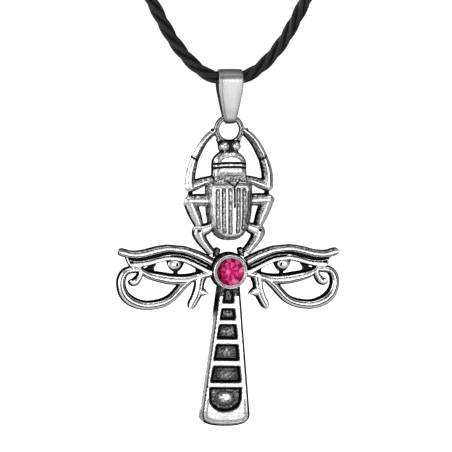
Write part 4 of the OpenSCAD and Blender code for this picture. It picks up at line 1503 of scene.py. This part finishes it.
@dataclass
class Studio:
    """The pale floor, the soft lights and the camera."""

    azimuth: float = -11.0
    elevation: float = 5.0
    distance: float = 0.6
    frame_width: float = 0.0905
    aim: tuple = (-0.0006, 0.0, -0.1824)

    def _face(self, thing: bpy.types.Object, azimuth: float, elevation: float, distance: float) -> None:
        """Adds a camera or a light at a distance from the pendant, facing it."""
        a, e = math.radians(azimuth), math.radians(elevation)
        back = Vector((math.sin(a) * math.cos(e), -math.cos(a) * math.cos(e), math.sin(e)))
        thing.location = Vector(self.aim) + back * distance
        thing.rotation_euler = back.to_track_quat("Z", "Y").to_euler()
        bpy.context.scene.collection.objects.link(thing)

    def camera(self) -> None:
        """Sets the camera at the photo's viewing angle."""
        data = bpy.data.cameras.new("camera")
        data.sensor_width = 36
        data.lens = 36 * self.distance / self.frame_width
        data.clip_start, data.clip_end = 0.01, 50
        camera = bpy.data.objects.new("camera", data)
        self._face(camera, self.azimuth, self.elevation, self.distance)
        bpy.context.scene.camera = camera

    def softbox(self, name: str, azimuth: float, elevation: float, distance: float, size: Row, watts: float) -> None:
        """Hangs one soft rectangular light that faces the pendant.

        Args:
            name: The light's name.
            azimuth: Its azimuth round the pendant, in degrees.
            elevation: Its elevation, in degrees.
            distance: Its distance in metres.
            size: Its width and height in metres.
            watts: Its power.
        """
        data = bpy.data.lights.new(name, "AREA")
        data.shape, data.size, data.size_y, data.energy = "RECTANGLE", size[0], size[1], watts
        self._face(bpy.data.objects.new(name, data), azimuth, elevation, distance)

    def floor(self) -> None:
        """Lays the pale floor under the pendant."""
        part = bmesh.new()
        bmesh.ops.create_grid(part, x_segments=8, y_segments=8, size=12)
        bmesh.ops.translate(part, vec=(0, 0, -0.32), verts=part.verts)
        mesh = bpy.data.meshes.new("floor")
        part.to_mesh(mesh)
        part.free()
        piece = shown("floor", mesh)
        piece.data.materials.append(Paper().build("paper"))

    def sky(self) -> None:
        """Makes the surroundings a soft grey that the camera sees as white."""
        world = bpy.data.worlds.new("studio")
        world.use_nodes = True
        tree = world.node_tree
        dim = tree.nodes["Background"]
        dim.inputs["Color"].default_value, dim.inputs["Strength"].default_value = (1, 1, 1, 1), 0.26
        white = tree.nodes.new("ShaderNodeBackground")
        white.inputs["Color"].default_value, white.inputs["Strength"].default_value = (1, 1, 1, 1), 1.05
        seen, mix = tree.nodes.new("ShaderNodeLightPath"), tree.nodes.new("ShaderNodeMixShader")
        tree.links.new(seen.outputs["Is Camera Ray"], mix.inputs[0])
        tree.links.new(dim.outputs[0], mix.inputs[1])
        tree.links.new(white.outputs[0], mix.inputs[2])
        tree.links.new(mix.outputs[0], tree.nodes["World Output"].inputs["Surface"])
        bpy.context.scene.world = world

    def build(self) -> None:
        """Sets up the whole studio."""
        self.camera()
        self.floor()
        self.sky()
        self.softbox("front", 11, -6, 0.9, (0.42, 0.42), 3.0)
        self.softbox("left", -72, 5, 0.9, (0.75, 0.8), 7.5)
        self.softbox("top", 5, 68, 0.9, (0.7, 0.4), 2.2)
        self.softbox("behind", -158, 10, 1.2, (0.9, 0.9), 9)
        scene = bpy.context.scene
        scene.view_settings.view_transform = "Standard"
        scene.view_settings.look = "None"


def dress(piece: bpy.types.Object, material: bpy.types.Material, body: str, slot: str, *nodes: str) -> None:
    """Gives a piece its material, body and the CAD nodes it stands for, and reports it.

    Args:
        piece: The finished object.
        material: Its finish.
        body: The CAD body that it rides on.
        slot: The record's material slot; not used.
        nodes: The CAD nodes that it replaces.
    """
    piece.data.materials.clear()
    piece.data.materials.append(material)
    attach(piece, body)
    if nodes:
        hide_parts(*nodes)
    triangles = sum(len(face.vertices) - 2 for face in piece.data.polygons)
    LOG.info("%s on %s: %d triangles", piece.name, body, triangles)


def main() -> None:
    """Builds the studio and each sub-assembly in turn."""
    logging.basicConfig(level=logging.INFO, format="%(message)s")
    Studio().build()
    silver = AntiqueSilver().build("antique_silver")
    for cast in (*(EyeWing(side) for side in Side), Scarab(), StoneCup(), Shaft()):
        dress(cast.build(), silver, "pendant", "antique_metal", "ankh")
    stone, gem = RedStone(), CutStone()
    dress(stone.build_crown(), gem.glass("stone_glass"), "pendant", "red_stone", "stone")
    dress(stone.build_foil(), gem.foil("stone_foil"), "pendant", "red_stone", "stone")
    strip = SatinMetal(colour=(0.56, 0.56, 0.565), stretch=(1, 1, 0.15), roughness=0.38, shaded=True)
    satin = strip.build("satin_strip")
    dress(FoldedBail().build(), satin, "bail", "satin_metal", "bail")
    dress(TwistedCord().build(), WaxedCord().build("waxed_cord"), "necklace", "black_cord", "neck_cord")
    steel = SatinMetal(colour=(0.7, 0.7, 0.71), roughness=0.34, stretch=(0.1, 1, 1)).build("clasp_steel")
    dress(BarrelClasp().build(), steel, "necklace", "clasp_metal", "clasp")


if __name__ == "__main__":
    main()
